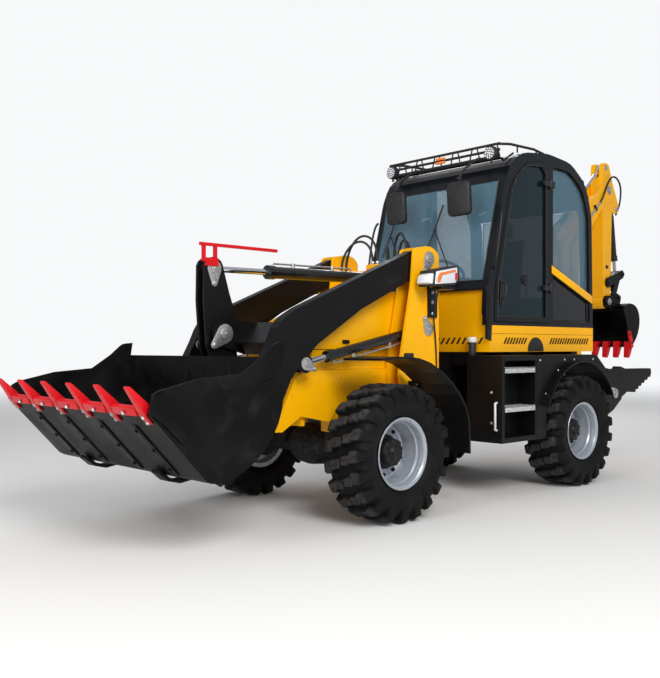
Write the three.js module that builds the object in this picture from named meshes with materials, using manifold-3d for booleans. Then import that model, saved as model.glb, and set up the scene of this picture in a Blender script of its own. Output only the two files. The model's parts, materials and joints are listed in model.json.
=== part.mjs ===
// A centre-articulated backhoe loader with a Z-bar front bucket, a tall cab and a
// rear digging arm folded behind the cab.
//
// Millimetres. +X is forward, +Y the machine's left, +Z up, and the ground is Z = 0.
// Every station along X is measured from the front axle; the whole machine is moved
// forward once, at the end, so that the origin is the middle of its footprint.

import * as THREE from 'three';
import { mergeVertices } from 'three/addons/utils/BufferGeometryUtils.js';
import Module from 'manifold-3d';

const wasm = await Module();
wasm.setup();

// ---------------------------------------------------------------- driving dimensions

const ORIGIN_TO_FRONT_AXLE = 1467;
const WHEELBASE = 2617;
const HALF_TRACK = 860;
const TYRE_RADIUS = 532;
const TYRE_WIDTH = 400;
const RIM_RADIUS = 279;
const AXLE_HEIGHT = TYRE_RADIUS;
const STEER_PIVOT = -1250;
const GAP = 0.3;

// Loader pins, as [station, height]
const ARM_PIVOT = [-810, 2110];
const LIFT_BASE = [-800, 1500];
const LIFT_EYE = [575, 1220];
const TILT_BASE = [-720, 1968];
const ROCKER_PIVOT = [1000, 1450];
const ROCKER_TOP = [1075, 1945];
const ROCKER_FOOT = [820, 750];
const BUCKET_PIVOT = [1330, 475];
const BUCKET_LINK_PIN = [1170, 620];
const ARM_CENTRE = 500;
const ARM_HALF = 45;
const BUCKET_HALF = 1000;
const BUCKET_LIP = [2205, 948];
const FLOOR_ANGLE = Math.atan2(432, 400);

// Backhoe pins
const SWING_AXIS = -3860;
const BOOM_ROOT = [-4060, 1140];
const BOOM_RAM_BASE = [-3740, 1340];
const BOOM_RAM_EYE = [-3600, 2300];
const STICK_PIVOT = [-4790, 3270];
const STICK_RAM_BASE = [-3745, 2700];
const STICK_RAM_EYE = [-4755, 3545];
const DIGGER_PIVOT = [-4750, 1900];
const LEVER_PIVOT = [-4790, 2140];
const LEVER_END = [-5130, 2260];
const DIGGER_LINK_PIN = [-4985, 1960];
const CURL_RAM_BASE = [-5010, 3060];
const DIGGER_HALF = 262;
const DIGGER_LIP = [-5050, 1345];
const STABILISER_PIVOT = [-3460, 860];

// Cab
const CAB_HALF = 760;
const CAB_WALL = 50;
const WINDSCREEN_HALF = 696;
const CAB_SILL = 1545;
const CAB_FLOOR = 1310;
const CAB_FRONT = -1450;
const CAB_REAR = -3250;
const SEAT_AXIS = -2450;

// Step boxes and walkways
const STEP_FRONT = -1326;
const STEP_BACK = -1880;
const PLATFORM_TOP = 1272;

// ---------------------------------------------------------------- materials

function paint(color, roughness, metalness) {
  return new THREE.MeshStandardMaterial({ color, roughness, metalness });
}

const yellow = paint(0xffb400, 0.4, 0.1);
const black = paint(0x1b1c1e, 0.5, 0.1);
const charcoal = paint(0x3b3e42, 0.45, 0.2);
const red = paint(0xd0141c, 0.4, 0.1);
const silver = paint(0xb8bdc4, 0.35, 0.6);
const chrome = paint(0xe8eaec, 0.12, 1.0);
const iron = paint(0x2a2b2d, 0.6, 0.4);
const rubber = paint(0x1d1d1d, 0.9, 0.0);
const vinyl = paint(0x232427, 0.8, 0.0);
const tinted = new THREE.MeshStandardMaterial({
  color: 0x9cc0c2, roughness: 0.05, metalness: 0, transparent: true, opacity: 0.35,
});

// ---------------------------------------------------------------- making shapes

// A closed mesh as a manifold solid, with only its positions left and its doubles merged.
function solid(geometry) {
  const bare = geometry.clone();
  bare.deleteAttribute('normal');
  bare.deleteAttribute('uv');
  const merged = mergeVertices(bare, 1e-3);
  return new wasm.Manifold(new wasm.Mesh({
    numProp: 3,
    vertProperties: new Float32Array(merged.attributes.position.array),
    triVerts: new Uint32Array(merged.index.array),
  }));
}

function join(...pieces) {
  return pieces.reduce((whole, piece) => whole.add(piece));
}

function cut(body, ...tools) {
  return tools.reduce((left, tool) => left.subtract(tool), body);
}

function toGeometry(body) {
  const mesh = body.getMesh();
  const geometry = new THREE.BufferGeometry();
  geometry.setAttribute('position', new THREE.BufferAttribute(mesh.vertProperties, 3));
  geometry.setIndex(new THREE.BufferAttribute(mesh.triVerts, 1));
  geometry.computeVertexNormals();
  return geometry;
}

// A side outline of [station, height] corners; a third number rounds that corner.
function outline(corners) {
  const shape = new THREE.Shape();
  const count = corners.length;
  corners.forEach((corner, i) => {
    const here = new THREE.Vector2(corner[0], corner[1]);
    const before = new THREE.Vector2(...corners[(i + count - 1) % count].slice(0, 2));
    const after = new THREE.Vector2(...corners[(i + 1) % count].slice(0, 2));
    const room = 0.45 * Math.min(before.distanceTo(here), after.distanceTo(here));
    const round = Math.min(corner[2] ?? 0, room);
    const into = before.sub(here).setLength(round).add(here);
    const out = after.sub(here).setLength(round).add(here);
    if (i === 0) shape.moveTo(into.x, into.y);
    else shape.lineTo(into.x, into.y);
    if (round > 0) shape.quadraticCurveTo(here.x, here.y, out.x, out.y);
  });
  shape.closePath();
  return shape;
}

// A side shape pulled across the machine from one Y to the other.
function across(shape, yA, yB, curveSegments = 2) {
  const depth = Math.abs(yB - yA);
  const geometry = new THREE.ExtrudeGeometry(shape, { depth, bevelEnabled: false, curveSegments });
  geometry.rotateX(Math.PI / 2);
  geometry.translate(0, Math.max(yA, yB), 0);
  return solid(geometry);
}

function plate(corners, yA, yB) {
  return across(outline(corners), yA, yB);
}

// A sheet that follows a side polyline, on its left hand, with one thickness.
function sheet(points, thickness, yA, yB) {
  const offset = points.map((point, i) => {
    const before = points[Math.max(i - 1, 0)];
    const after = points[Math.min(i + 1, points.length - 1)];
    const along = new THREE.Vector2(after[0] - before[0], after[1] - before[1]).normalize();
    return [point[0] - along.y * thickness, point[1] + along.x * thickness];
  });
  return plate([...points, ...offset.reverse()], yA, yB);
}

function box(x0, x1, y0, y1, z0, z1) {
  const geometry = new THREE.BoxGeometry(Math.abs(x1 - x0), Math.abs(y1 - y0), Math.abs(z1 - z0));
  geometry.translate((x0 + x1) / 2, (y0 + y1) / 2, (z0 + z1) / 2);
  return solid(geometry);
}

// A round boss or pin across the machine, at a [station, height] point.
function boss([x, z], radius, yA, yB, sides = 14) {
  const geometry = new THREE.CylinderGeometry(radius, radius, Math.abs(yB - yA), sides);
  geometry.translate(x, (yA + yB) / 2, z);
  return solid(geometry);
}

function post(x, y, z0, z1, radius, sides = 16) {
  const geometry = new THREE.CylinderGeometry(radius, radius, z1 - z0, sides);
  geometry.rotateX(Math.PI / 2);
  geometry.translate(x, y, (z0 + z1) / 2);
  return solid(geometry);
}

// A round bar in a side plane, between two distances along the line from one pin to another.
function bar(from, to, y, start, end, radius, sides = 12) {
  const angle = Math.atan2(to[1] - from[1], to[0] - from[0]);
  const geometry = new THREE.CylinderGeometry(radius, radius, end - start, sides);
  geometry.rotateZ(-Math.PI / 2);
  geometry.translate((start + end) / 2, 0, 0);
  geometry.rotateY(-angle);
  geometry.translate(from[0], y, from[1]);
  return solid(geometry);
}

function distance(from, to) {
  return Math.hypot(to[0] - from[0], to[1] - from[1]);
}

// A solid of revolution about the Y axis, from [radius, y] corners.
function turned(profile, sides) {
  const geometry = new THREE.LatheGeometry(profile.map(([r, y]) => new THREE.Vector2(r, y)), sides);
  return solid(geometry);
}

const machine = new THREE.Group();
machine.position.x = ORIGIN_TO_FRONT_AXLE;
const frontFrame = new THREE.Group();
const rearFrame = new THREE.Group();
const loader = new THREE.Group();
const backhoe = new THREE.Group();
machine.add(frontFrame, rearFrame, loader, backhoe);

function add(parent, name, body, material) {
  const mesh = new THREE.Mesh(toGeometry(body), material);
  mesh.name = name;
  parent.add(mesh);
  return mesh;
}

const SIDES = [['left', 1], ['right', -1]];

// ---------------------------------------------------------------- wheels and axles

// The tyre's section, from bead to bead over the tread.
function tyreBody() {
  const half = TYRE_WIDTH / 2;
  return turned([
    [251, -136], [292, -138], [335, -half + 14], [420, -half], [500, -half + 16], [TYRE_RADIUS, -half + 52],
    [TYRE_RADIUS, half - 52], [500, half - 16], [420, half], [335, half - 14], [292, 138], [251, 136],
    [251, -136],
  ], 24);
}

// A deep dished rim with the planetary hub's nose in it; its outer side faces +Y.
function rimBody() {
  return turned([
    [0, -84], [212, -84], [222, -160], [RIM_RADIUS, -158], [RIM_RADIUS - 4, -148], [248, -141],
    [248, 141], [RIM_RADIUS - 4, 148], [RIM_RADIUS, 158], [258, 160], [226, 60], [216, -54],
    [118, -44], [112, 62], [60, 84], [0, 84],
  ], 20);
}

function addWheel(name, x, side) {
  const wheel = new THREE.Group();
  wheel.position.set(x, side * HALF_TRACK, AXLE_HEIGHT);
  wheel.rotation.z = side > 0 ? 0 : Math.PI;
  machine.add(wheel);
  add(wheel, `tyre_${name}`, tyreBody(), rubber);
  add(wheel, `rim_${name}`, rimBody(), silver);
}

for (const [word, side] of SIDES) {
  addWheel(`front_${word}`, 0, side);
  addWheel(`rear_${word}`, -WHEELBASE, side);
}

// A drive axle: banjo housing in the middle, tubes, and planetary carriers inside the rims.
function axleBody(x) {
  const hubEnd = HALF_TRACK - 86;
  const half = [[0, hubEnd], [150, hubEnd], [165, 640], [90, 560], [85, 240], [165, 120], [180, 0]];
  const other = half.slice(0, -1).reverse().map(([r, y]) => [r, -y]);
  const housing = turned([...half, ...other].reverse(), 18).translate([x, 0, AXLE_HEIGHT]);
  const pads = SIDES.map(([, s]) => box(x - 110, x + 110, s * 250, s * 370, AXLE_HEIGHT, 660 - GAP));
  return join(housing, ...pads);
}

add(frontFrame, 'front_axle', axleBody(0), iron);
add(rearFrame, 'rear_axle', axleBody(-WHEELBASE), iron);

// ---------------------------------------------------------------- front frame

// Chin plates, floor, spine over the axle and the tongue of the steering joint.
function frontChassisBody() {
  const chin = [
    [795, 705], [560, 1120, 30], [410, 1165], [-930, 1165], [-930, 640], [-560, 660], [-420, 880, 40],
    [80, 890, 30], [210, 750], [510, 810], [700, 700],
  ];
  const plates = SIDES.map(([, s]) => plate(chin, s * 375, s * (415 - GAP)));
  const crossPlate = box(440, 480, -376, 376, 730, 1150);
  const spine = box(-930, 441, -250, 250, 900, 1120);
  const saddles = SIDES.map(([, s]) => box(-140, 140, s * 240, s * 376, 660, 1000));
  const tail = box(-1100, -700, -220, 220, 620, 1120);
  const tailWeb = box(-931, -860, -376, 376, 660, 1120);
  const tongue = join(box(-1250, -1099, -130, 130, 720, 900), post(STEER_PIVOT, 0, 720, 900, 130));
  return join(...plates, crossPlate, spine, ...saddles, tail, tailWeb, tongue);
}

add(frontFrame, 'front_chassis', frontChassisBody(), yellow);

// The bonnet: a folded cover open underneath, with its rear end open towards the cab.
function hoodBody() {
  const side = [
    [410, 1166], [385, 1330, 40], [190, 1560, 60], [-260, 1745, 60], [-500, 1815, 40], [-930, 1855],
    [-930, 1166],
  ];
  const inside = [
    [388, 1150], [364, 1322, 40], [178, 1538, 60], [-264, 1724, 60], [-502, 1794, 40], [-950, 1834],
    [-950, 1150],
  ];
  return cut(plate(side, -400, 400), plate(inside, -380, 380));
}

add(frontFrame, 'engine_hood', hoodBody(), yellow);
add(frontFrame, 'engine_block', box(-640, 60, -260, 260, 1122, 1560), iron);

// Both loader towers with the beam between them, and the headlamp arms on their outer plates.
function towerBody() {
  const cheek = [
    [-945, 960], [-945, 2170, 70], [-830, 2225, 60], [-620, 2190, 40], [-590, 1885, 40],
    [-455, 1260], [-430, 1110, 60], [-470, 985, 40],
  ];
  const halves = SIDES.flatMap(([, s]) => [
    plate(cheek, s * 560, s * 585),
    plate(cheek, s * 415, s * 440),
    box(-945, -930, s * 416, s * 584, 961, 2150),
    box(-930, -480, s * 416, s * 584, 961, 985),
    box(-900, -770, s * 584, s * 600, 1600, 1900),
    box(-870, -800, s * 599, s * 700, 1840, 1900),
  ]);
  const beam = box(-930, -840, -416, 416, 1890, 2060);
  const lugs = SIDES.flatMap(([, s]) => [
    boss(TILT_BASE, 62, s * 38, s * 62),
    box(-841, TILT_BASE[0], s * 38, s * 62, 1906, 2030),
  ]);
  return join(...halves, beam, ...lugs);
}

add(frontFrame, 'loader_towers', towerBody(), yellow);

// A mudguard over the back half of a front wheel, carried by an arm from the tower.
function frontFenderBody(side) {
  const edge = new THREE.CatmullRomCurve3([
    [275, 1262], [40, 1275], [-260, 1235], [-590, 1040], [-770, 800], [-800, 470],
  ].map(([x, z]) => new THREE.Vector3(x, z, 0)));
  const points = edge.getPoints(12).map((p) => [p.x, p.y]);
  const arm = box(-700, -540, side * (585 + GAP), side * 660, 1010, 1062);
  const band = sheet(points, 18, side * 640, side * 1045);
  const gusset = plate([[-700, 1062], [-540, 1062], [-560, 985], [-700, 930]], side * 641, side * 655);
  return join(band, arm, gusset);
}

for (const [word, side] of SIDES) {
  add(frontFrame, `front_fender_${word}`, frontFenderBody(side), black);
}

// ---------------------------------------------------------------- loader

// Both lift arms, the folded cross member and the ears that carry the rocker.
function armsBody() {
  const side = [
    [-640, 2170], [655, 1640, 40], [825, 1545, 60], [900, 1385], [1385, 520], [1265, 420], [800, 955],
    [720, 1108], [650, 1185], [465, 1362, 40], [-20, 1650], [-415, 1828], [-700, 1950], [-860, 2010],
    [-880, 2190],
  ];
  const arms = SIDES.map(([, s]) => {
    const inner = s * (ARM_CENTRE - ARM_HALF);
    const outer = s * (ARM_CENTRE + ARM_HALF);
    const blank = join(
      plate(side, inner, outer),
      boss(ARM_PIVOT, 105, s * (ARM_CENTRE - 55), s * (ARM_CENTRE + 55)),
      boss(LIFT_EYE, 72, inner, outer),
      boss(BUCKET_PIVOT, 85, inner, outer),
    );
    const corner = box(-1000, -915, inner, outer, 1900, 2300);
    const pocket = boss(LIFT_EYE, 165, s * (ARM_CENTRE - 31), s * (ARM_CENTRE + 31));
    return cut(blank, corner, pocket);
  });
  const beam = [[545, 1540], [680, 1540], [905, 1380], [800, 1290], [640, 1395], [545, 1440]];
  const rockerSlot = box(640, 1000, -67, 67, 1200, 1600);
  const ear = [[600, 1500], [700, 1540], [1000, 1558], [1000, 1345], [800, 1290]];
  const ears = SIDES.flatMap(([, s]) => [plate(ear, s * 67, s * 93), boss(ROCKER_PIVOT, 108, s * 67, s * 93)]);
  return join(...arms, cut(plate(beam, -456, 456), rockerSlot), ...ears);
}

add(loader, 'loader_arms', armsBody(), black);

// The rocker: two plates on one hub, pushed at its head and pulling the bucket from its foot.
function rockerBody() {
  const side = [
    [990, 1960], [1160, 1960], [1165, 1700], [1140, 1360], [1080, 1180, 60], [885, 740], [755, 770],
    [860, 1250, 60], [850, 1540, 60], [930, 1760],
  ];
  const plates = SIDES.flatMap(([, s]) => [
    plate(side, s * 34, s * 58),
    boss(ROCKER_TOP, 88, s * 34, s * 58),
    boss(ROCKER_FOOT, 68, s * 34, s * 58),
  ]);
  const hub = boss(ROCKER_PIVOT, 74, -60, 60);
  return join(...plates, hub);
}

// The level indicator: a rail above the tilt ram that the driver sights along.
function indicatorBody() {
  const rail = box(470, 1215, 62, 84, 2108, 2132);
  const legs = [1075, 1180].map((x) => box(x - 13, x + 13, 62, 84, 2000, 2109));
  const foot = box(1050, 1160, 58 + GAP, 84, 1960, 2020);
  return join(rail, ...legs, foot, box(1100, 1193, 62, 84, 1990, 2020));
}

add(loader, 'rocker', rockerBody(), black);
add(loader, 'level_indicator', indicatorBody(), red);

function linkBody(from, to, radius, half) {
  const along = distance(from, to);
  const shank = bar(from, to, 0, 0, along, radius * 0.8, 4).intersect(box(-9000, 9000, -half, half, 0, 9000));
  return join(shank, boss(from, radius, -half, half), boss(to, radius, -half, half));
}

add(loader, 'tilt_link', linkBody(ROCKER_FOOT, BUCKET_LINK_PIN, 48, 28), black);

// The bucket in side view: straight floor, round heel and back; it rests rolled back.
function bucketProfile() {
  const shape = new THREE.Path();
  shape.moveTo(1182, 1280);
  shape.lineTo(1180, 1020);
  shape.bezierCurveTo(1200, 620, 1680, 410, 1805, 516);
  shape.lineTo(...BUCKET_LIP);
  return shape.getPoints(12).map((p) => [p.x, p.y]);
}

function bucketBody() {
  const profile = bucketProfile();
  const top = [
    [2185, 1065], [2140, 1088], [1850, 1152], [1530, 1176], [1360, 1286], [1255, 1375, 30],
    [1165, 1382],
  ];
  const shell = sheet(profile, 18, -BUCKET_HALF, BUCKET_HALF);
  const cheeks = SIDES.map(([, s]) => plate([...profile, ...top], s * (BUCKET_HALF - 18), s * BUCKET_HALF));
  const lug = [[1240, 440], [1450, 440], [1560, 520], [1300, 770], [1240, 860], [1250, 560]];
  const arms = SIDES.flatMap(([, s]) => [[425, 449], [551, 575]].flatMap(([a, b]) => [
    plate(lug, s * a, s * b),
    boss(BUCKET_PIVOT, 85, s * a, s * b),
  ]));
  const ear = [[1150, 575], [1200, 580], [1480, 560], [1260, 830], [1150, 665]];
  const ears = SIDES.flatMap(([, s]) => [
    plate(ear, s * 32, s * 52),
    boss(BUCKET_LINK_PIN, 46, s * 32, s * 52),
  ]);
  const body = join(shell, ...cheeks, ...arms, ...ears);
  const inside = plate([...sheetInner(profile, 17), [2600, 1500], [1300, 1800]], -981, 981);
  return cut(body, inside);
}

function sheetInner(points, thickness) {
  return points.map((point, i) => {
    const before = points[Math.max(i - 1, 0)];
    const after = points[Math.min(i + 1, points.length - 1)];
    const along = new THREE.Vector2(after[0] - before[0], after[1] - before[1]).normalize();
    return [point[0] - along.y * thickness, point[1] + along.x * thickness];
  });
}

add(loader, 'loader_bucket', bucketBody(), black);

// The bolted cutting edge and its six teeth, drawn flat and then laid along the floor's slope.
function bucketEdgeBody() {
  const teeth = 6;
  const tooth = [[-95, 0], [-70, 34], [60, 40], [205, 14], [205, 2], [40, -34], [-70, -34], [-95, -18]];
  const strip = plate([[-60, 0.3], [-60, 22], [30, 22], [48, 0.3]], -975, 975);
  const slot = box(-200, 0, -2000, 2000, -18.3, 0.3);
  const toothBodies = Array.from({ length: teeth }, (_, i) => {
    const y = -930 + (1860 * i) / (teeth - 1);
    return plate(tooth, y - 32, y + 32);
  });
  const flat = cut(join(strip, ...toothBodies), slot);
  return flat
    .rotate([0, -THREE.MathUtils.radToDeg(FLOOR_ANGLE), 0])
    .translate([BUCKET_LIP[0], 0, BUCKET_LIP[1]])
    .translate([-18 * Math.sin(FLOOR_ANGLE), 0, 18 * Math.cos(FLOOR_ANGLE)]);
}

add(loader, 'bucket_teeth', bucketEdgeBody(), red);

// ---------------------------------------------------------------- hydraulic rams

// A ram between two pins: the barrel with its eye and gland, and the rod with its own eye.
function addRam(parent, name, from, to, y, size) {
  const { barrel, rod, eye, half, length, inner } = size;
  const reach = distance(from, to);
  const neck = bar(from, to, y, 0, eye + 40, eye, 4).intersect(box(-9000, 9000, y - half, y + half, 0, 9000));
  const tube = join(
    boss(from, eye, y - half, y + half),
    neck,
    bar(from, to, y, eye + 24, length, barrel),
    bar(from, to, y, length - 70, length, barrel + 8),
  );
  const bore = bar(from, to, y, eye + 60, length + 10, rod + GAP);
  const shaft = join(
    bar(from, to, y, inner, reach - eye * 0.6, rod),
    boss(to, eye, y - half, y + half),
  );
  add(parent, `${name}_barrel`, cut(tube, bore), black);
  add(parent, `${name}_rod`, shaft, chrome);
}

for (const [word, side] of SIDES) {
  addRam(loader, `lift_${word}`, LIFT_BASE, LIFT_EYE, side * ARM_CENTRE, {
    barrel: 41, rod: 25, eye: 52, half: 26, length: 1150, inner: 450,
  });
}
addRam(loader, 'tilt', TILT_BASE, ROCKER_TOP, 0, {
  barrel: 50, rod: 24, eye: 48, half: 28, length: 1235, inner: 420,
});

// ---------------------------------------------------------------- rear frame

// The rear chassis: box spine with a notch over the axle, and the forked steering joint.
function rearChassisBody() {
  const spine = plate([
    [-1400, 560], [-1400, 1300], [-3300, 1300], [-3300, 520], [-3000, 520], [-2860, 716], [-2380, 716],
    [-2250, 560],
  ], -300, 300);
  const saddles = SIDES.map(([, s]) => box(-WHEELBASE - 120, -WHEELBASE + 120, s * 240, s * 380, 660, 900));
  const forks = [[585, 719], [901, 1035]].flatMap(([z0, z1]) => [
    box(-1401, -1250, -130, 130, z0, z1),
    post(STEER_PIVOT, 0, z0, z1, 130),
  ]);
  const outriggers = [-1500, -2080, -3150].map((x) => box(x - 60, x + 60, -600, 600, 1180, 1300));
  return join(spine, ...saddles, ...forks, ...outriggers);
}

// The step box behind the steering joint: a recess in its outer side with two treads.
function stepBoxBody(side) {
  const body = box(STEP_FRONT, STEP_BACK, side * 601, side * 980, 500, PLATFORM_TOP);
  const recess = box(STEP_FRONT - 40, -1840, side * 800, side * 990, 545, 1225);
  const treads = [770, 1115].map((z) => box(STEP_FRONT - 39, -1841, side * 799, side * 975, z, z + 42));
  return join(cut(body, recess), ...treads);
}

// The walkway behind the step box, with the arch over the rear wheel.
function sidePlatformBody(side) {
  const wheel = [-2575, 560];
  const arch = 640;
  const front = STEP_BACK - GAP;
  const shape = new THREE.Shape();
  shape.moveTo(front, PLATFORM_TOP);
  shape.lineTo(-2930, PLATFORM_TOP);
  shape.lineTo(-3120, 1130);
  shape.lineTo(-3120, 900);
  const end = Math.atan2(900 - wheel[1], -3120 - wheel[0]);
  shape.absarc(wheel[0], wheel[1], arch, end, Math.PI / 6, true);
  shape.lineTo(-2030, 500);
  shape.lineTo(front, 500);
  shape.closePath();
  return across(shape, side * 601, side * 980, 10);
}

for (const [word, side] of SIDES) {
  add(rearFrame, `step_box_${word}`, stepBoxBody(side), black);
  add(rearFrame, `side_platform_${word}`, sidePlatformBody(side), black);
}

// The frame that carries the digging arm: cross beam, swing lugs and stabiliser cheeks.
function backhoeFrameBody() {
  const beam = box(-3600, -3299, -740, 740, 640, 1000);
  const lugs = [[560, 640], [940, 1020]].flatMap(([z0, z1]) => [
    box(SWING_AXIS, -3599, -80, 80, z0, z1),
    post(SWING_AXIS, 0, z0, z1, 95),
  ]);
  const cheek = [[-3135, 1120], [-3560, 1120], [-3600, 800], [-3430, 690], [-3301, 640]];
  const cheeks = SIDES.flatMap(([, s]) => [
    plate(cheek, s * 739, s * 764),
    plate(cheek, s * 875, s * 900),
    box(-3301, -3330, s * 763, s * 876, 660, 1100),
  ]);
  return join(beam, ...lugs, ...cheeks);
}

add(rearFrame, 'rear_chassis', join(rearChassisBody(), backhoeFrameBody()), black);

// A stabiliser leg with its toothed foot, folded back and level for the road.
function stabiliserBody(side) {
  const teeth = 6;
  const foot = [[-4330, 1108], [-4340, 1060]];
  for (let i = 0; i < teeth; i += 1) {
    const turn = (i / teeth) * 0.8;
    const x = -4320 + 420 * Math.sin(turn) * 1.35;
    const z = 1040 - 190 * turn * 1.25;
    foot.push([x, z - 30], [x + 34, z - 4]);
  }
  const leg = [[-3430, 930], [-3640, 1140], [-3760, 1112], ...foot, [-3780, 860], [-3640, 800], [-3430, 790]];
  return join(plate(leg, side * 775, side * 864), boss(STABILISER_PIVOT, 80, side * 770, side * 869));
}

for (const [word, side] of SIDES) {
  add(rearFrame, `stabiliser_${word}`, stabiliserBody(side), black);
}

// ---------------------------------------------------------------- cab

// The cab in side view, from the sill up over the roof.
const CAB_SIDE = [
  [-1402, CAB_SILL], [-1420, 1880], [-1672, 2850, 60], [-1760, 3040, 80], [-1960, 3185, 90],
  [-2400, 3238, 60], [-2820, 3205, 90], [-3120, 3020, 120], [-3225, 2700, 60], [CAB_REAR, CAB_SILL],
];
const DOOR = [
  [-1515, 1575, 30], [-1525, 1880], [-1762, 2850, 80], [-2020, 3120, 140], [-2330, 3150, 60],
  [-2412, 3060, 40], [-2412, 1575, 30],
];
const QUARTER = [
  [-2490, 1600, 20], [-2490, 3120, 50], [-2800, 3115, 80], [-3050, 2960, 90], [-3160, 2690, 40],
  [-3190, 1600, 20],
];

function shrunk(corners, margin) {
  const xs = corners.map((c) => c[0]);
  const zs = corners.map((c) => c[1]);
  const middle = [(Math.min(...xs) + Math.max(...xs)) / 2, (Math.min(...zs) + Math.max(...zs)) / 2];
  const half = [(Math.max(...xs) - Math.min(...xs)) / 2, (Math.max(...zs) - Math.min(...zs)) / 2];
  return corners.map(([x, z, r]) => [
    middle[0] + (x - middle[0]) * (1 - margin / half[0]),
    middle[1] + (z - middle[1]) * (1 - margin / half[1]),
    r ?? 0,
  ]);
}

// The yellow lower cab: floor, sill walls, front wall under the windscreen and rear wall.
function cabBaseBody() {
  const outer = [
    [CAB_FRONT, CAB_FLOOR - 8], [CAB_FRONT, CAB_SILL - GAP], [CAB_REAR, CAB_SILL - GAP], [CAB_REAR, CAB_FLOOR - 8],
  ];
  const tub = plate(outer, -CAB_HALF, CAB_HALF);
  const hollow = box(CAB_FRONT - 40, CAB_REAR + 40, -CAB_HALF + 40, CAB_HALF - 40, CAB_FLOOR + 32, 2000);
  const frontWall = box(-1490, CAB_FRONT, -700, 700, CAB_FLOOR, 1865);
  return join(cut(tub, hollow), frontWall);
}

// Pillars, headers and roof in one welded frame; door and side window openings are cut.
function cabFrameBody() {
  const inner = shrunk(CAB_SIDE, 45);
  const walls = SIDES.map(([, s]) => cut(
    plate(CAB_SIDE, s * (CAB_HALF - CAB_WALL), s * CAB_HALF),
    plate(DOOR, s * (CAB_HALF - CAB_WALL - 5), s * (CAB_HALF + 5)),
    plate(QUARTER, s * (CAB_HALF - CAB_WALL - 5), s * (CAB_HALF + 5)),
  ));
  const hull = cut(
    plate(CAB_SIDE, -CAB_HALF + CAB_WALL - 1, CAB_HALF - CAB_WALL + 1),
    plate(inner, -CAB_HALF, CAB_HALF),
    box(-1300, -1800, -WINDSCREEN_HALF - 2, WINDSCREEN_HALF + 2, 1950, 2890),
    box(-3100, -3300, -640, 640, 1880, 2780),
    box(-1300, -3400, -800, 800, 1500, 1640),
    box(-1300, -1502, -701, 701, 1500, 1866),
  );
  const brace = SIDES.map(([, s]) => plate(
    [[-2470, 2150], [-2470, 2065], [-3215, 1795], [-3210, 1885]],
    s * (CAB_HALF - 18),
    s * (CAB_HALF + 6),
  ));
  return join(...walls, hull, ...brace);
}

add(rearFrame, 'cab_base', cabBaseBody(), yellow);
add(rearFrame, 'cab_frame', cabFrameBody(), charcoal);

function windscreenBody() {
  const pane = [[-1441, 1953], [-1449, 1955], [-1684, 2887], [-1676, 2887]];
  return plate(pane, -WINDSCREEN_HALF, WINDSCREEN_HALF);
}

add(rearFrame, 'windscreen', windscreenBody(), tinted);
add(rearFrame, 'rear_window', box(-3236, -3228, -637, 637, 1884, 2776), tinted);

for (const [word, side] of SIDES) {
  const pane = plate(shrunk(QUARTER, 3), side * (CAB_HALF - 36), side * (CAB_HALF - 30));
  add(rearFrame, `side_window_${word}`, pane, tinted);
  const leaf = plate(shrunk(DOOR, 6), side * (CAB_HALF - 40), side * (CAB_HALF + 4));
  const opening = plate(shrunk(DOOR, 52), side * (CAB_HALF - 50), side * (CAB_HALF + 10));
  add(rearFrame, `door_${word}`, cut(leaf, opening), black);
  const glass = plate(shrunk(DOOR, 54), side * (CAB_HALF - 20), side * (CAB_HALF - 14));
  add(rearFrame, `door_glass_${word}`, glass, tinted);
}

// The rack and lamp bar over the windscreen, with the two mirrors hung from it.
function roofRackBody() {
  const bar0 = box(-1740, -1660, -690, 690, 3110, 3250);
  const rails = SIDES.map(([, s]) => plate(
    [[-1739, 3215], [-1739, 3250], [-2450, 3285], [-2500, 3240 + GAP], [-2400, 3240 + GAP]],
    s * 640,
    s * 690,
  ));
  const mirrors = SIDES.flatMap(([, s]) => [
    plate([[-1662, 3112], [-1400, 2960], [-1400, 2935], [-1690, 3112]], s * 370, s * 392),
    box(-1440, -1410, s * 260, s * 500, 2570, 2945),
  ]);
  return join(bar0, ...rails, ...mirrors);
}

add(rearFrame, 'roof_rack', roofRackBody(), black);

// The swivelling seat and its pedestal.
function seatBody() {
  const cushion = box(-2700, -2200, -240, 240, 1780, 1900);
  const back = plate([[-2690, 1890], [-2600, 1890], [-2690, 2480, 30], [-2770, 2480, 30]], -230, 230);
  const pedestal = post(SEAT_AXIS, 0, CAB_FLOOR + 32 + GAP, 1790, 130, 16);
  return join(cushion, back, pedestal);
}

add(rearFrame, 'operator_seat', seatBody(), vinyl);

// The dash, steering column and wheel, and the two lever stands for the digging arm.
function consoleBody() {
  const floor = CAB_FLOOR + 32 + GAP;
  const dash = plate([[-1530, floor], [-1530, 1900], [-1700, 1900], [-1780, 1760], [-1700, floor]], -330, 330);
  const column = bar([-1640, 1860], [-1800, 2120], 0, 0, 280, 34, 10);
  const wheel = solid(
    new THREE.TorusGeometry(170, 16, 6, 20).rotateY(Math.PI / 2).rotateY(Math.atan2(260, 160))
      .translate(-1790, 0, 2104),
  );
  const spokes = solid(
    new THREE.BoxGeometry(16, 340, 30).rotateY(Math.atan2(260, 160)).translate(-1790, 0, 2104),
  );
  return join(dash, column, wheel, spokes);
}

add(rearFrame, 'dash_console', consoleBody(), black);

// ---------------------------------------------------------------- backhoe

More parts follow.
